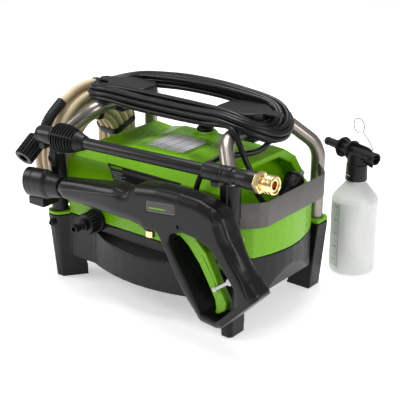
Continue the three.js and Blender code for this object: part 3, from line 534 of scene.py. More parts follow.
STATIONS = [
    (0, RIGHT_END), (0.0875, OVER_RAIL), (0.2, BACK_RUN), (0.3, BACK_RUN), (0.4125, OVER_RAIL),
    (0.5, LEFT_END), (0.5875, OVER_RAIL), (0.68, FRONT_RUN), (0.82, FRONT_RUN), (0.9125, OVER_RAIL),
]
TURNS = len(RIGHT_END)
PER_TURN = 60
TAIL_LEAVES = 0.86  # share of the last turn at which the cord leaves for the plug


def eased(t):
    t = min(1, max(0, t))
    return t * t * (3 - 2 * t)


def round_plates(share):
    """Point and outward direction at a share of one turn, from the middle of the right end to the back."""
    straight, half = WINDING["straight"], WINDING["half"]
    arc, run = math.pi * half, 2 * straight
    left = (share % 1) * 2 * (arc + run)
    if arc / 2 < left <= arc / 2 + run:
        return Vector((straight - (left - arc / 2), half, 0)), Vector((0, 1, 0))
    if arc * 1.5 + run < left <= arc * 1.5 + 2 * run:
        return Vector((left - arc * 1.5 - run - straight, -half, 0)), Vector((0, -1, 0))
    if left <= arc / 2:
        side, angle = 1, left / half
    elif left <= arc * 1.5 + run:
        side, angle = -1, (left - run) / half
    else:
        side, angle = 1, (left - 2 * run) / half
    out = Vector((math.cos(angle), math.sin(angle), 0))
    return Vector((side * straight, 0, 0)) + out * half, out


def winding_points():
    where, across, height = [], [], []
    for turn in range(TURNS):
        for share, table in STATIONS:
            where.append(turn + share)
            across.append(table[turn][0])
            height.append(table[turn][1])
    shares = np.arange(0.02, TURNS - 1 + TAIL_LEAVES, 1 / PER_TURN)
    window = np.hanning(9) / np.hanning(9).sum()
    runs = []
    for values in (across, height):
        raw = np.interp(shares, where, values)
        runs.append(np.convolve(np.pad(raw, 4, mode="edge"), window, mode="valid"))
    points = []
    for share, outward, up in zip(shares, *runs):
        middle, out = round_plates(share)
        loose = 0.5 * math.sin(9 * share + 1.7 * int(share))
        point = middle + out * (outward + loose)
        points.append((point.x, point.y, up + 0.4 * math.sin(5 * share)))
    return points


def make_plug():
    profile = [(0, 0), (0, 5.6), (14, 7), (20, 11.5), (26, 13.2), (38, 14), (38, 16), (43, 16), (43, 0)]
    body = turned(profile, PLUG_AT, PLUG_WAY, 72, ribs=(12, 0.9, 22, 36), soften=1.6)
    rings = [
        turned([(x, 0), (x, 7.4), (x + 1.4, 7.4), (x + 1.4, 0)], PLUG_AT, PLUG_WAY) for x in (3, 6.5, 10)
    ]
    return piece("plug_body", joined([body, *rings]), BLACK_SOFT, "washer", "power_plug")


def make_power_cord():
    path = spline(LEAD_POINTS + winding_points() + TAIL_POINTS, 4.5)
    nodes = ("power_cord_lead", "power_cord_winding", "power_cord_tail")
    cord = piece("power_cord", tube(path, CORD_D / 2000, 12), CORD_BLACK, "washer", *nodes)
    make_plug()


# ---------------------------------------------------------------- hose
HOSE_LEAD = [
    (-205, OUTLET_Y + 18.6, 60), (-205, -38, 61), (-207, -22, 67), (-213, -7, 77),
]
SLEEVE_POINTS = [
    (-205, -85.4, 265.9), (-205, -98, 255.5), tuple(NUT_MIDDLE - 33 * NUT_WAY),
    tuple(NUT_MIDDLE - 23.4 * NUT_WAY),
]
LAYERS = 4
COIL_START = -62  # degrees from the back, towards the top, where the hose joins the coil's outer layer


def hose_turn(degrees, radius, sideways):
    angle = math.radians(degrees)
    return (COIL["x"] + sideways, COIL["y"] + radius * math.cos(angle), COIL["z"] + radius * math.sin(angle))


def coil_place(turns):
    """Radius and sideways place after some turns: three turns side by side in each layer, from outside in."""
    turn = min(int(turns), 3 * LAYERS - 1)
    shift = eased((turns - turn - 0.82) / 0.18)

    def place(number):
        layer, step = divmod(number, 3)
        sideways = (step - 1) * HOSE_D * (1 if layer % 2 == 0 else -1)
        return COIL["outer_turn"] - COIL["pitch"] * (layer + 1), sideways

    here, after = place(turn), place(min(turn + 1, 3 * LAYERS - 1))
    return [a + (b - a) * shift for a, b in zip(here, after)]


def hose_points():
    points = list(HOSE_LEAD)
    per_turn = 32
    for i in range(3 * LAYERS * per_turn + 1):
        radius, sideways = coil_place(i / per_turn)
        loose = 0.5 * math.sin(i * 0.61)
        points.append(hose_turn(COIL_START + i * 360 / per_turn, radius + loose, sideways))
    inner = coil_place(3 * LAYERS)[0]
    crossing = 345
    for step in range(1, 31):
        t = step / 30
        radius = inner + (COIL["outer_turn"] - inner) * eased(t)
        sideways = HOSE_D * (1 - 3 * eased(t * 6)) if t < 1 / 6 else -2 * HOSE_D
        points.append(hose_turn(COIL_START + crossing * t, radius, sideways))
    first = COIL_START + crossing - 360
    for step in range(1, 24):
        degrees = first + (116 - first) * step / 23
        sideways = -2 * HOSE_D * (1 - eased((degrees - first) / 50))
        points.append(hose_turn(degrees, COIL["outer_turn"], sideways))
    return points + [(-205, -68, 278), (-205, -84, 267), *SLEEVE_POINTS[1:]]


def hull(points):
    """Convex outline round some plane points."""
    points = sorted(points)

    def half(run):
        kept = []
        for p in run:
            while len(kept) > 1:
                (ax, ay), (bx, by) = kept[-2], kept[-1]
                if (bx - ax) * (p[1] - ay) - (by - ay) * (p[0] - ax) > 0:
                    break
                kept.pop()
            kept.append(p)
        return kept[:-1]

    return half(points) + half(points[::-1])


def make_tie(name, node, degrees, path):
    """Strap round the hose where it crosses one half plane through the coil's axis."""
    angle = math.radians(degrees)
    out = Vector((0, math.cos(angle), math.sin(angle)))
    centre = at(COIL["x"], COIL["y"], COIL["z"])
    around = []
    for a, b in zip(path, path[1:]):
        u, v = a - centre, b - centre
        side = out.cross(Vector((1, 0, 0)))
        if u.dot(side) * v.dot(side) > 0 or u.dot(out) < 0:
            continue
        middle = ((u + v) / 2).dot(out), ((u + v) / 2).x
        for k in range(16):
            turn = 2 * math.pi * k / 16
            radius = HOSE_D / 2000 + 0.0007
            around.append((middle[1] + radius * math.cos(turn), middle[0] + radius * math.sin(turn)))
    ring = hull(around)
    middle = Vector((sum(p[0] for p in ring) / len(ring), sum(p[1] for p in ring) / len(ring)))
    along = out.cross(Vector((1, 0, 0)))
    vertices = []
    section = [(-5, 0), (-5, 0.9), (-4.2, 1.5), (4.2, 1.5), (5, 0.9), (5, 0)]
    for x, r in ring:
        away = (Vector((x, r)) - middle).normalized()
        for width, thick in section:
            p = Vector((x, r)) + away * thick / 1000
            vertices.append(centre + Vector((p.x, 0, 0)) + out * p.y + along * width / 1000)
    mesh = mesh_of(vertices, ring_faces(len(ring), len(section), closed=True))
    return piece(name, mesh, BLACK_SOFT, "washer", node)


def make_hose():
    path = spline(hose_points(), 5)
    nodes = ("hose_lead", "hose_coil", "hose_tail")
    hose = piece("pressure_hose", tube(path, HOSE_D / 2000, 16), HOSE_TAN, "washer", *nodes)
    sleeve_path = spline([(-205, -66, 278.8), *SLEEVE_POINTS], 1)
    rings = [(8.7 if i % 4 < 2 else 8.1) / 1000 for i in range(len(sleeve_path))]
    sleeve = piece("hose_boot", tube(sleeve_path, rings, 28), BLACK_SOFT, "washer", "hose_sleeve")
    profile = [
        (-22, 0), (-22, 11), (-19, 11.5), (-18.5, 15.6), (-16, 16.4), (21, 16.4), (22, 15), (22, 9),
        (14, 9), (14, 0),
    ]
    nut_mesh = turned(profile, NUT_MIDDLE, NUT_WAY, 144, ribs=(18, 1.9, -18, 21.6), soften=0.6)
    nut = piece("hose_union_nut", nut_mesh, BLACK_SOFT, "hose_union", "hose_nut")
    make_tie("top_hose_tie", "hose_tie_top", 80, path)
    make_tie("rear_hose_tie", "hose_tie_rear", 18, path)


make_power_cord()
make_hose()


# ---------------------------------------------------------------- base, cover and frame
def cad_skin(name, node, finish, voxel, passes):
    return dress(skin(name, [cad(node)], voxel, passes), finish, "washer", node)


def make_casing():
    cad_skin("base_shell", "base_tub", BLACK, 1.4, 4)
    cover = skin("green_cover", [cad("top_cover"), cad("front_label")], 1.1, 10)
    slope_left_end(cover.data)
    dress(cover, GREEN, "washer", "top_cover")
    make_front_panel(cover)
    make_label_rim()
    post = [(186, 11.2), (186, 15), (237, 15), (238.5, 13.6), (238.5, 11.2), (186, 11.2)]
    collar = turned(post, (POST_X, -POST_Y, 0), UP)
    piece("right_post_collar", collar, BLACK, "washer")
    for side, words in ((-1, "left"), (1, "right")):
        cad_skin(f"{words}_post_sleeve", f"front_{words}_sleeve", BLACK, 0.9, 4)
        cad_skin(f"{words}_cord_hook", f"{words}_hook_plate", BLACK, 1.0, 4)
        make_frame_tube(side, words)
    cad_skin("grip_bar", "handle_bar", BLACK, 0.8, 6)
    relief = skin("strain_relief", [cad("cord_strain_relief")], 0.5, 3)
    foot = (*LEAD_POINTS[0][:2], 0)
    rings = [
        turned([(z, 0), (z, 7.4), (z + 2, 7.2), (z + 2, 0)], foot, UP) for z in range(162, 184, 5)
    ]
    relief.data = joined([relief.data, *rings])
    relief.data.shade_smooth()
    dress(relief, BLACK_SOFT, "washer", "cord_strain_relief")


def slope_left_end(mesh):
    """Takes the crest of the cover's left end down to its long slope, and its inside with it."""
    wall = 2.6
    origin = at(0, 0, 0)
    places = np.empty(len(mesh.vertices) * 3)
    normals = np.empty(len(mesh.vertices) * 3)
    mesh.vertices.foreach_get("co", places)
    mesh.vertices.foreach_get("normal", normals)
    places, normals = places.reshape(-1, 3), normals.reshape(-1, 3)
    x = (places[:, 0] - origin.x) * 1000
    limit = np.interp(x, (-177, -166, -131, -118), (150, 188, 224, 233)) - wall * (normals[:, 2] < 0)
    lowered = np.minimum(places[:, 2], origin.z + limit / 1000)
    places[:, 2] = np.where(x < -118, lowered, places[:, 2])
    mesh.vertices.foreach_set("co", places.ravel())
    mesh.update()


def make_label_rim():
    """Raised rim round the rating panel on the top."""
    low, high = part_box("top_label")
    grow, lift = 0.0035, 0.0002
    corners = [(low[0] - grow, low[1] - grow), (high[0] + grow, low[1] - grow)]
    corners += [(high[0] + grow, high[1] + grow), (low[0] - grow, high[1] + grow)]
    ring = filleted([(x * 1000, y * 1000) for x, y in corners], 14, 8)
    tree = BVHTree.FromObject(bpy.data.objects["green_cover"], bpy.context.evaluated_depsgraph_get())
    path = []
    for point in [*ring, ring[0]]:
        place = tree.ray_cast(Vector((point.x / 1000, point.y / 1000, 1)), Vector((0, 0, -1)))[0]
        path.append(place + Vector((0, 0, lift)))
    piece("panel_rim", tube(path, 0.0013, 10), GREEN, "washer")


def laid_on(thing, corners, columns, rows, lift):
    """Thin patch between four corners, low left first, that follows the front of a thing."""
    mesh = thing.data
    tree = BVHTree.FromPolygons([v.co for v in mesh.vertices], [tuple(p.vertices) for p in mesh.polygons])
    low_left, low_right, top_right, top_left = [Vector(c) for c in corners]
    vertices = []
    for i in range(rows + 1):
        left, right = low_left.lerp(top_left, i / rows), low_right.lerp(top_right, i / rows)
        for k in range(columns + 1):
            x, z = left.lerp(right, k / columns)
            place, normal = tree.ray_cast(at(x, -300, z), Vector((0, 1, 0)))[:2]
            vertices.append(place + normal * lift / 1000)
    return mesh_of(vertices, grid_faces(rows, columns))


def make_front_panel(cover):
    """Black panel on the cover's front with plain rules in place of print."""
    panel = laid_on(cover, [(-50, 189), (66, 189), (76, 214), (-70, 214)], 60, 16, 0.35)
    piece("front_panel", panel, BLACK_SOFT, "washer", "front_label")
    title = laid_on(cover, [(-60, 209), (-38, 209.6), (-39, 212.6), (-62, 212)], 12, 2, 0.6)
    piece("panel_rule", title, GREEN, "washer")
    rules = []
    for number, length in enumerate((24, 19, 26, 17, 22)):
        x, z = -57 + number * 1.6, 205.5 - number * 2.7
        corners = [(x, z - 0.5), (x + length, z), (x + length, z + 0.7), (x, z + 0.2)]
        rules.append(laid_on(cover, corners, 12, 1, 0.6))
    piece("panel_lines", joined(rules), SCALE_GREY, "washer")


def bent(corners, radius, steps=14):
    """Machine points of straight runs joined by round bends."""
    points = [Vector(corners[0])]
    for before, here, after in zip(corners, corners[1:], corners[2:]):
        here = Vector(here)
        inward, outward = (Vector(before) - here).normalized(), (Vector(after) - here).normalized()
        half = inward.angle(outward) / 2
        centre = here + (inward + outward).normalized() * radius / math.sin(half)
        start = here + inward * radius / math.tan(half) - centre
        axis = (-inward).cross(outward).normalized()
        for k in range(steps + 1):
            turn = Matrix.Rotation((math.pi - 2 * half) * k / steps, 3, axis)
            points.append(centre + turn @ start)
    return points + [Vector(corners[-1])]


def make_frame_tube(side, words):
    x, inner_x = POST_X * side, RAIL_X * side
    corners = [
        (x, -POST_Y, SOCKET_Z), (x, -POST_Y, BEND_LOW_Z), (inner_x, -RAIL_Y, RAIL_Z),
        (inner_x, RAIL_Y, RAIL_Z), (x, POST_Y, BEND_LOW_Z), (x, POST_Y, SOCKET_Z),
    ]
    path = [at(*p) for p in bent(corners, BEND_R)]
    piece(f"{words}_end_frame", tube(path, TUBE_R / 1000, 40), STEEL, "washer", f"{words}_frame_tube")


def make_band():
    """Steel band with rounded bends and rolled top and bottom edges."""
    corners = [(179, -109), (203, -85), (208, -73), (208, 73), (203, 85), (179, 109)]
    outer = filleted(corners, 16, 8, closed=False)
    last = len(outer) - 1
    ways = [(outer[min(i + 1, last)] - outer[max(i - 1, 0)]).normalized() for i in range(last + 1)]
    section = [
        (0, 169.8), (0.3, 169), (1.9, 169), (2.2, 169.8), (2.2, 206.2), (1.9, 207), (0.3, 207), (0, 206.2),
    ]
    vertices = []
    for point, way in zip(outer, ways):
        inward = Vector((-way.y, way.x))
        for depth, z in section:
            vertices.append(at(point.x + inward.x * depth, point.y + inward.y * depth, z))
    n = len(section)
    ends = [tuple(range(n)), tuple(range(last * n, last * n + n))]
    mesh = mesh_of(vertices, ring_faces(last + 1, n) + ends)
    piece("bin_band", mesh, BAND, "washer", "side_band")


def screw_head(x, y, z, way, radius):
    """Round head with a socket in it, on a washer."""
    shape = [(0.7, 1), (0.95, 0.8), (0.95, 0.45), (0.4, 0.4), (0.4, 0)]
    profile = [(0, 0), (0, radius * 1.35), (1.3, radius * 1.35), (1.4, radius)]
    profile += [(radius * along, radius * out) for along, out in shape]
    return turned(profile, (x, y, z), way, 36, soften=0.35)


def make_screws():
    for x, words in ((-POST_X, "left"), (POST_X, "right")):
        front = screw_head(x, -132.4, 98, FORWARD, 5.2)
        piece(f"{words}_leg_screw", front, BLACK_SOFT, "washer", f"front_{words}_leg_bolt")
        small = screw_head(x, -127.8, 205, FORWARD, 3.7)
        piece(f"{words}_sleeve_bolt", small, BLACK_SOFT, "washer", f"front_{words}_sleeve_screw")
        piece(f"{words}_rear_screw", screw_head(x, 131.2, 98, BACKWARD, 5.2), BLACK_SOFT, "washer")


def make_inlet():
    x, z = INLET
    start, way = (x, -113.4, z), FORWARD
    flange = turned([(0, 0), (0, 19), (5, 19), (7, 17.5), (7, 8.8), (27, 8.8), (27, 0)], start, way)
    piece("inlet_flange", flange, BLACK_SOFT, "washer", "inlet_fitting")
    profile = [(7.8, 9.6), (7.8, 16.2), (9, 17.2), (25.5, 17.2), (26.6, 16), (26.6, 9.6), (7.8, 9.6)]
    nut = turned(profile, start, way, 160, ribs=(20, 1.5, 8.5, 26))
    piece("inlet_union_nut", nut, BLACK_SOFT, "inlet_union", "inlet_nut")
    profile = [(27.8, 4), (27.8, 9), (32.5, 9), (33, 6.8), (38, 6.8), (39, 5.6), (44, 5.6), (45, 6.9)]
    profile += [(50, 6.9), (51.6, 6), (51.6, 4), (27.8, 4)]
    piece("inlet_plug_end", turned(profile, start, way), BLACK_SOFT, "washer", "inlet_nipple")


def make_outlet():
    x, z = -205, 60
    profile = [(0, 0), (0, 8.8), (26, 8.8), (26, 13), (21, 13), (37.6, 8.8), (37.6, 0)]
    spigot = turned(profile, (x, OUTLET_Y, z), (1, 0, 0))
    profile = [(0, 0), (0, 9.4), (26, 9.4), (26, 0)]
    elbow = turned(profile, (x, OUTLET_Y - 8.5, z), BACKWARD, soften=1.5)
    piece("outlet_elbow", joined([spigot, elbow]), BLACK_SOFT, "washer", "hose_outlet")


def make_knob():
    origin = (*KNOB, 0)
    profile = [(226.4, 0), (226.4, 4.6), (247.4, 4.6), (247.4, 13.5), (251, 13.5), (252, 11), (252, 0)]
    base = turned(profile, origin, UP)
    profile = [(251.8, 0), (251.8, 11.2), (265, 10.6), (267, 8.8), (267, 0)]
    grip = turned(profile, origin, UP, 96, ribs=(12, 1.1, 252, 265.5))
    piece("switch_knob_top", joined([base, grip]), BLACK_SOFT, "switch_knob", "power_knob")


make_casing()
make_band()
make_screws()
make_inlet()
make_outlet()
make_knob()


# ---------------------------------------------------------------- lance
def lance_piece(name, node, profile, finish, body="lance", sides=64, ribs=None, soften=0.6):
    mesh = turned(profile, LANCE_START, LANCE_WAY, sides, ribs, soften)
    return piece(name, mesh, finish, body, node)


def make_lance():
    tip = [
        (-160, 0), (-160, 3), (-171, 3), (-171, 11), (-169, 13), (-166, 13.5), (-165, 12.6), (-163, 12.6),
        (-162, 13.8), (-138, 13.8), (-134, 12), (-128.4, 12), (-128.4, 0),
    ]
    lance_piece("spray_head", "lance_nozzle", tip, BLACK, body="spray_nozzle")
    make_guard()
    lance_piece("lance_pipe", "lance_tube", [(-127.6, 0), (-127.6, 9), (153.6, 9), (153.6, 0)], BLACK)
    grip = [
        (154, 0), (154, 11.6), (156, 12.5), (183, 12.6), (184, 11.6), (186, 11.6), (187, 12.6), (189, 12.6),
        (190, 11.6), (192, 11.6), (193, 12.6), (202, 12.6), (204, 10.4), (211, 10.4), (213, 12),
        (228, 13.2), (240, 13), (241, 12), (241, 0),
    ]
    lance_piece("lance_sleeve", "lance_grip", grip, BLACK)
    nut = [(241.4, 0), (241.4, 14.4), (242.8, 15.4), (249.6, 15.4), (251, 14.4), (251, 0)]
    hexagon = turned(nut, LANCE_START, LANCE_WAY, 6, None, 0.2)
    neck = turned([(246, 0), (246, 9.4), (269, 9.4), (269, 6), (252, 6), (252, 0)], LANCE_START, LANCE_WAY)
    piece("coupler_socket", joined([hexagon, neck]), BRASS, "lance", "lance_socket")
    seal = [(253, 0), (253, 5.6), (264, 5.9), (264, 5.2), (254, 3.4), (254, 0)]
    piece("coupler_seal", turned(seal, LANCE_START, LANCE_WAY), COPPER, "lance")
    collar = [
        (255.6, 9.9), (255.6, 11.4), (256.8, 12.8), (258.4, 13), (259, 12.2), (260, 13), (263.4, 13),
        (264, 12.2), (265, 13), (269, 13.1), (270.6, 12.2), (271, 10.8), (270.4, 9.9), (255.6, 9.9),
    ]
    lance_piece("coupler_ring", "lance_coupler", collar, BRASS, body="quick_collar", soften=0.4)


def make_guard():
    """Cage of rings with four bars along it and a smooth cone behind."""
    guard = [(-128, 9.6), (-128, 18)]
    rings = 8
    for i in range(rings):
        x = -127.4 + i * 5.1
        swell = 22.6 - (i / rings) ** 2 * 7.5
        guard += [(x, swell - 4.4), (x + 0.4, swell), (x + 1.9, swell), (x + 2.3, swell - 4.4)]
    guard += [(-87, 15.6), (-72, 10.6), (-71.5, 9.6), (-128, 9.6)]
    mesh = turned(guard, LANCE_START, LANCE_WAY, 72, None, 0.25)
    way, up = Vector(LANCE_WAY), Vector((-LANCE_WAY[2], 0, LANCE_WAY[0]))
    bars = []
    for angle in (-0.5, 1.07, 2.64, 4.21):
        out = Vector((0, math.cos(angle), 0)) + up * math.sin(angle)
        ends = [(-127, 21.8), (-115, 22), (-104, 20.6), (-94, 18.2), (-87, 15)]
        bars.append(tube(spline([Vector(LANCE_START) + way * x + out * r for x, r in ends], 2), 0.0009, 8))
    piece("ribbed_guard", joined([mesh, *bars]), BLACK_SOFT, "lance", "lance_guard")


make_lance()


# ---------------------------------------------------------------- trigger gun
GUN_OUTLINE = [
    (-120, 162), (4, 163), (26, 163), (46, 161), (86, 164), (148, 55), (160, 41), (193, 38.5), (263, 109),
    (252, 120), (234, 141), (224, 157), (213, 176), (205, 194), (199, 210), (188, 218), (160, 227),
    (124, 229), (82, 228), (42, 222), (24, 207), (2, 210), (-120, 193),
]
GUN_OPENING = [
    (107, 151), (166, 58), (192, 53), (229, 90), (227, 108), (212, 127), (195, 147), (184, 161), (158, 171),
    (132, 174), (111, 166),
]
NOSE_WAY = (math.cos(0.09), 0, math.sin(0.09))
BARREL_SPINE = [(-116, 178), (24, 203), (38, 216), (24, 212), (2, 216), (-116, 200)]
GRIP_CHANNEL = [(193, 198), (201, 180), (216, 161), (243, 133)]
GRIP_SEAM = [(178, 218), (192, 199), (196, 180), (212, 155), (232, 130), (244, 108)]
BADGE = [(67, 190), (121, 196), (121, 213), (67, 207)]


def edge_distance(points, line):
    """Distance of plane points from a line through some corners."""
    corners = np.array([tuple(p) for p in line], float)
    best = np.full(len(points), np.inf)
    for a, b in zip(corners, corners[1:]):
        share = np.clip((points - a) @ (b - a) / max((b - a) @ (b - a), 1e-9), 0, 1)
        best = np.minimum(best, np.linalg.norm(points - a - share[:, None] * (b - a), axis=1))
    return best


def within(points, ring):
    """Which plane points lie inside a ring of corners."""
    corners = np.array([tuple(p) for p in ring], float)
    inside = np.zeros(len(points), bool)
    for a, b in zip(corners, np.roll(corners, -1, axis=0)):
        crosses = (a[1] > points[:, 1]) != (b[1] > points[:, 1])
        reach = a[0] + (points[:, 1] - a[1]) * (b[0] - a[0]) / (b[1] - a[1] + 1e-12)
        inside ^= crosses & (points[:, 0] < reach)
    return inside


def step(values, low, high):
    share = np.clip((values - low) / (high - low), 0, 1)
    return share * share * (3 - 2 * share)


def shape_gun(mesh, outline):
    """Rounds the flat gun body into its full section, and adds its raised and sunk areas on both sides."""
    co = np.empty(len(mesh.vertices) * 3)
    mesh.vertices.foreach_get("co", co)
    co = co.reshape(-1, 3)
    middle = at(0, GUN_Y, 0)
    flat = np.stack([(co[:, 0] - middle.x) * 1000, co[:, 2] * 1000], axis=1)
    out = (co[:, 1] - middle.y) * 1000
    narrow = 1 - 0.32 * step(-flat[:, 0], -20, 100)
    split = max(range(len(outline)), key=lambda i: outline[i].x + outline[i].y * 0.01)
    ring = outline[split:] + outline[:split]
    nose = min(range(len(ring)), key=lambda i: ring[i].x)
    upper = [p for p in ring[: nose + 1] if p.x > -119] + [Vector((-150, 193))]
    lower = [Vector((-150, 162))] + [p for p in ring[nose:] if p.x > -119 and p.x + p.y * 1.02 < 236]
    depth = np.minimum(edge_distance(flat, upper), edge_distance(flat, lower))
    inside = within(flat, outline)
    depth = np.where(inside, depth, 0)
    roundness = np.sqrt(1 - (1 - np.minimum(depth, 17) / 17) ** 2)
    swell = 0.4 + 0.6 * roundness
    beyond = np.where(inside, 0, step(edge_distance(flat, [*outline, outline[0]]), 2, 5))
    out *= narrow * (swell * (1 - beyond) + beyond)
    side = np.sign(out)
    spine = edge_distance(flat, [*BARREL_SPINE, BARREL_SPINE[0]])
    raised = 1.8 * step(spine, 0, 1.8) * within(flat, BARREL_SPINE)
    sunk = 3.4 * (1 - step(edge_distance(flat, GRIP_CHANNEL), 1, 8))
    seam = 1.3 * (1 - step(edge_distance(flat, GRIP_SEAM), 0.3, 1.9))
    plate = 1.4 * step(edge_distance(flat, [*BADGE, BADGE[0]]), 0, 1.2) * within(flat, BADGE)
    out += side * (raised - sunk - seam - plate) * step(np.abs(out), 5, 11)
    co[:, 1] = out / 1000 + middle.y
    mesh.vertices.foreach_set("co", co.ravel())
    mesh.update()


def bore(thing, depth, radius, start, way, sides):
    """Cuts a round hole into a thing."""
    low, high = depth
    cut(thing, turned([(low, 0), (low, radius), (high, radius), (high, 0)], start, way, sides, None, 0.2))


def gun_body():
    outline = filleted(GUN_OUTLINE, 14, 6)
    opening = filleted(GUN_OPENING, 7, 5)
    body = prism(outline, GUN_Y - GUN_HALF, GUN_Y + GUN_HALF, [opening], 2.5)
    nose = [
        (0, 0), (0, 22), (2, 24), (17, 24), (17.5, 23.2), (19, 23.2), (19.5, 24), (42, 24), (46, 22.6),
        (50, 20.5), (78, 17), (78, 0),
    ]
    start = (-197, GUN_Y, 169.6)
    drum = turned(nose, start, NOSE_WAY, 72)
    boss = turned([(0, 0), (0, 11), (23, 11), (23, 0)], (59, GUN_Y, 176), (-2, 0, -23))
    whole = skin("gun_whole", [body, drum, boss], 1.0, 4)
    shape_gun(whole.data, outline)
    bore(whole, (0, 40), 7.9, (57.9, GUN_Y, 163), (-1.4, 0, -23), 32)
    bore(whole, (-20, 22), 8, start, NOSE_WAY, 40)
    slot = [(104, 150), (150, 160), (150, 186), (134, 193), (110, 190), (100, 170)]
    cut(whole, prism(slot, GUN_Y - 7.6, GUN_Y + 7.6, (), 0.3))
    x, z = TRIGGER_PIVOT
    bore(whole, (0, 60), 3, (x, GUN_Y - 30, z), BACKWARD, 24)
    x, z = LATCH_PIVOT
    bore(whole, (0, 22.4), 6.2, (x, GUN_Y - 30, z), BACKWARD, 24)
    return whole


def make_gun_shells():
    whole = gun_body()
    for words, side in (("front", -1), ("rear", 1)):
        bm = bmesh.new()
        bm.from_mesh(whole.data)
        plane = at(0, GUN_Y + side * 0.15, 0)
        everything, away = [*bm.verts, *bm.edges, *bm.faces], (0, -side, 0)
        made = bmesh.ops.bisect_plane(bm, geom=everything, plane_co=plane, plane_no=away, clear_outer=True)
        rim = [e for e in made["geom_cut"] if isinstance(e, bmesh.types.BMEdge)]
        bmesh.ops.triangle_fill(bm, use_beauty=True, edges=rim)
        mesh = bpy.data.meshes.new("half")
        bm.to_mesh(mesh)
        bm.free()
        dress(shown(f"gun_{words}_half", mesh, 50), BLACK, "gun", f"gun_shell_{words}")
    bpy.data.objects.remove(whole)


def make_gun_details():
    """Blank badge with a rim and a plain rule, and the screws of the rear side."""
    face = GUN_Y - GUN_HALF
    rim = [(68, 191), (120.4, 196.8), (120.4, 212.4), (68, 206.4)]
    plate = [(69.6, 193), (118.8, 198.4), (118.8, 210.6), (69.6, 205)]
    rule = [(73, 196.6), (104, 200), (104, 202), (73, 198.6)]
    piece("gun_badge_rim", prism(filleted(rim, 3), face + 0.2, face + 3, (), 0.4), RIM_GREY, "gun")
    piece("gun_badge", prism(filleted(plate, 2), face - 0.2, face + 3, (), 0.3), BADGE_GREY, "gun")
    piece("gun_badge_rule", prism(filleted(rule, 0.6), face - 0.6, face + 1, (), 0.2), GREEN, "gun")
    for number, (x, z) in enumerate(((-60, 178), (40, 192), (150, 206), (206, 170), (245, 112), (170, 47))):
        reach = 14 if x < 0 else 19.6
        profile = [(0, 0), (0, 3.2), (1.9, 3.2), (2.1, 2.4), (1.5, 1.6), (1.5, 0)]
        head = turned(profile, (x, GUN_Y + reach, z), BACKWARD, 24, None, 0.2)
        piece(f"gun_screw_{number}", head, ZINC, "gun")


def make_trigger():
    outline = [
        (119, 186), (116, 178), (106, 160), (118, 160), (133, 149), (152, 127), (170, 97), (180, 79),
        (182, 66), (180, 59), (186, 58), (199, 67), (201, 80), (189, 100), (173, 131), (165, 146),
        (146, 163), (138, 180), (130, 188),
    ]
    x, z = TRIGGER_PIVOT
    angles = np.linspace(0, 2 * math.pi, 13)[:-1]
    eye = filleted([(x + 3 * math.cos(a), z + 3 * math.sin(a)) for a in angles], 0.5)
    lever = prism(filleted(outline, 9), GUN_Y - 7, GUN_Y + 7, [eye], 2.2)
    piece("trigger_lever", lever, GREEN, "gun_trigger", "trigger")
    rail = [(150, 137), (168, 108), (180, 88), (188, 92), (176, 114), (158, 143)]
    ridge = prism(filleted(rail, 3), GUN_Y - 7.8, GUN_Y - 6.4, (), 0.6)
    piece("trigger_ridge", ridge, GREEN, "gun_trigger")
    pin = turned([(-19, 0), (-19, 2.6), (19, 2.6), (19, 0)], (x, GUN_Y, z), BACKWARD, 32, None, 0.5)
    piece("trigger_axle", pin, ZINC, "gun", "trigger_pin")


def make_latch():
    x, z = LATCH_PIVOT
    y = GUN_Y - 10
    eye = turned([(-3, 0), (-3, 5.2), (2, 5.2), (2, 0)], (x, y, z), BACKWARD, 40)
    bar = tube(spline([(x, y, z), (196, y, 107.5), (183, y, 98)], 3), 0.0024, 20)
    tip = turned([(-3, 0), (-3, 3.6), (2.4, 3.6), (2.4, 0)], (183, y, 98), BACKWARD, 32, None, 1.2)
    boss = turned([(2.6, 0), (2.6, 7.5), (5, 8), (30, 8), (30, 0)], (x, y, z), BACKWARD, 40)
    web = prism(filleted([(x, z - 7), (236, 104), (236, 116), (x + 2, z + 7)], 1), y + 8, y + 29, (), 0.5)
    piece("latch_boss", joined([boss, web]), BLACK, "gun")
    piece("lock_lever", joined([eye, bar, tip]), LATCH, "gun_latch", "trigger_latch")


def make_gun_inlet():
    profile = [(1, 0), (1, 7.4), (12, 7.4), (12.5, 7.6), (19.6, 7.6), (20, 7), (20, 4), (5, 4), (5, 0)]
    body = turned(profile, (57.9, GUN_Y, 162), (-1.3, 0, -20), 72)
    piece("brass_inlet", body, BRASS, "gun", "gun_inlet")


make_gun_shells()
make_gun_details()
make_trigger()
make_latch()
make_gun_inlet()


# ---------------------------------------------------------------- foam bottle
def make_bottle():
    origin = (*BOTTLE, 0)
    outside = [
        (0.2, 0), (0.2, 31), (1.2, 35), (5, 38), (127, 38), (134, 34.5), (154, 18), (158, 15.6),
        (176, 15.6),
    ]
    inside = [(176, 13), (159, 13), (134, 32), (127, 36), (6, 36), (3, 32), (3, 0)]
    wall = turned(outside + inside, origin, UP, 96, None, 2.5)
    piece("bottle", wall, BOTTLE_WHITE, "bottle", "foam_bottle")
    profile = [
        (159.8, 16.4), (159.8, 18), (186, 17), (187, 16.2), (187, 12.6), (177, 12.6), (177, 16.4),
        (159.8, 16.4),
    ]
    cap = turned(profile, origin, UP, 176, (44, 0.25, 160.5, 163))
    piece("ribbed_cap", cap, BLACK_SOFT, "cap", "bottle_cap")
    make_scale()


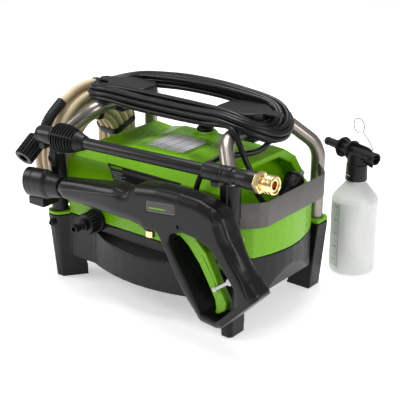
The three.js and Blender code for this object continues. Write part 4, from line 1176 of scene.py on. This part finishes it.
def wrapped(low, high, start, end, radius):
    """Patch round the bottle's axis between two heights and two angles in degrees."""
    columns = 12
    vertices = []
    for z in (low, high):
        for k in range(columns + 1):
            angle = math.radians(start + (end - start) * k / columns)
            vertices.append(at(BOTTLE[0] + radius * math.cos(angle), BOTTLE[1] + radius * math.sin(angle), z))
    return mesh_of(vertices, grid_faces(1, columns))


def make_scale():
    """Level strip down the bottle's left side with plain tick marks, and a short rule on the cap."""
    piece("level_strip", wrapped(14, 124, -134, -99, 38.12), SCALE_GREY, "bottle")
    ticks = [wrapped(z, z + 1.1, -119, -104, 38.3) for z in (26, 49, 72, 95, 118)]
    small = [wrapped(z, z + 0.6, -110, -104, 38.3) for z in (37.5, 60.5, 83.5, 106.5)]
    sides = [wrapped(14, 124, angle, angle + 0.9, 38.25) for angle in (-134, -99.9)]
    piece("level_marks", joined([*ticks, *small, *sides]), INK, "bottle")
    piece("cap_rule", wrapped(168.6, 170.2, -124, -96, 17.85), BOTTLE_WHITE, "cap")


def head_point(x, y, z):
    turn = Matrix.Rotation(HEAD_TURN, 3, "Z")
    return turn @ Vector((x, y, 0)) + Vector((*BOTTLE, z))


def on_bottle(mesh, z=0, tilt=0):
    """Puts a plate made at the machine's middle on the bottle's axis, turned as the head is."""
    mesh.transform(Matrix.Translation(-at(0, 0, 0)))
    mesh.transform(Matrix.Rotation(tilt, 4, "X"))
    mesh.transform(Matrix.Rotation(HEAD_TURN, 4, "Z"))
    mesh.transform(Matrix.Translation(at(*BOTTLE, z)))
    return mesh


def make_foam_head():
    axis = 205
    way = Matrix.Rotation(HEAD_TURN, 3, "Z") @ Vector((1, 0, 0))
    barrel = [
        (-76, 0), (-76, 5.4), (-74, 7), (-68, 7), (-67, 5.4), (-64, 5.4), (-63, 7), (-48, 7), (-46, 9.5),
        (-35.5, 9.5), (-35, 17), (-32.6, 17), (-32, 8.5), (-13.5, 8.5), (-13, 16.5), (-10.6, 16.5),
        (-10, 8.2), (10, 8.8), (43, 10), (43, 7), (30, 6.5), (30, 0),
    ]
    stem = [(177.6, 0), (177.6, 12), (187.5, 12), (187.5, 16.4), (205, 15.4), (205, 0)]
    neck = turned(stem, (*BOTTLE, 0), UP)
    meshes = [turned(barrel, (*BOTTLE, axis), way, soften=0.3), neck]
    fins = [
        [(-11, axis), (38, axis), (38, axis + 9), (26, axis + 15), (-11, axis + 15.5)],
        [(10, axis), (10, axis - 12), (36, axis - 17), (38, axis)],
        [(-34, axis), (-11, axis), (-11, axis + 13), (-20, axis + 10), (-34, axis + 14)],
        [(-34, axis), (-34, axis - 14), (-11, axis - 12), (-11, axis)],
    ]
    meshes += [on_bottle(prism(filleted(fin, 3), -1.2, 1.2, (), 0.4)) for fin in fins]
    flange = [(-33, -14), (28, -14), (40, -6), (40, 6), (28, 14), (-33, 14)]
    meshes.append(on_bottle(prism(filleted(flange, 4), -1.2, 1.2, (), 0.4), axis, -math.pi / 2))
    head = skin("foam_sprayer", meshes, 0.6, 2)
    hole = [(0, 0), (0, 1.5), (30, 1.5), (30, 0)]
    cut(head, turned(hole, tuple(head_point(33, 0, 213)), UP, 16, None, 0.1))
    dress(head, BLACK_SOFT, "bottle", "foam_head")


def make_cleaning_pin():
    centre_x, centre_z, radius, start = 0, 250, 12, -0.65
    leg = [(33, 213.6), (33, 217), (33, 220), (28, 227), (18, 236)]
    loop = []
    for i in range(25):
        angle = start + (2 * math.pi - 0.5) * i / 24
        loop.append((centre_x + radius * math.cos(angle), centre_z + radius * math.sin(angle)))
    path = spline([head_point(x, 0, z) for x, z in leg + loop], 1.2)
    piece("pin_wire", tube(path, 0.0007, 10), WIRE, "pin", "cleaning_pin")


make_bottle()
make_foam_head()
make_cleaning_pin()


# ---------------------------------------------------------------- finishes of the CAD nodes that stay
CAD_FINISH = {"zinc": ZINC, "black": BLACK, "black_soft": BLACK_SOFT, "alloy": ALLOY, "label": PANEL}


def dress_cad_nodes():
    for row in frame["record"]["subparts"]:
        node = frame["nodes"][row["node"]]
        if node.hide_render or row["material_slot"] not in CAD_FINISH:
            continue
        node.data.materials.clear()
        node.data.materials.append(CAD_FINISH[row["material_slot"]])


dress_cad_nodes()


# ---------------------------------------------------------------- floor and light
def make_studio():
    size, below = 12, -0.0004
    grey, glow = (0.9, 0.9, 0.9, 1), (1, 1, 1, 1)
    finish = Finish("studio_floor", 0.6, Base_Color=grey, Emission_Color=glow, Emission_Strength=0.45)
    corners = [(-size, -size, below), (size, -size, below), (size, size, below), (-size, size, below)]
    floor = shown("floor", mesh_of(corners, [(0, 1, 2, 3)]))
    floor.data.materials.append(finish.material)
    world = bpy.data.worlds.new("studio")
    bpy.context.scene.world = world
    world.use_nodes = True
    nodes, links = world.node_tree.nodes, world.node_tree.links
    place = nodes.new("ShaderNodeTexCoord")
    split = nodes.new("ShaderNodeSeparateXYZ")
    ramp = nodes.new("ShaderNodeValToRGB")
    ramp.color_ramp.elements[0].color = (0.42, 0.42, 0.42, 1)
    ramp.color_ramp.elements[1].color = (1, 1, 1, 1)
    links.new(place.outputs["Generated"], split.inputs["Vector"])
    links.new(split.outputs["Z"], ramp.inputs["Fac"])
    links.new(ramp.outputs["Color"], nodes["Background"].inputs["Color"])
    nodes["Background"].inputs["Strength"].default_value = 0.55
    softbox("top", (-0.3, 0.2, 1.9), 1.1, 34)
    softbox("left", (-1.6, -1.1, 1.1), 0.8, 16)
    softbox("right", (2.0, -0.3, 0.9), 0.8, 16)
    bpy.context.scene.view_settings.view_transform = "Standard"


def softbox(name, place, size, power):
    """Square lamp aimed at the middle of the machine."""
    target = Vector((0, 0, 0.15))
    light = bpy.data.lights.new(name, "AREA")
    light.shape, light.size, light.energy = "SQUARE", size, power
    lamp = bpy.data.objects.new(name, light)
    lamp.location = place
    lamp.rotation_euler = (target - Vector(place)).to_track_quat("-Z", "Y").to_euler()
    bpy.context.scene.collection.objects.link(lamp)


make_studio()
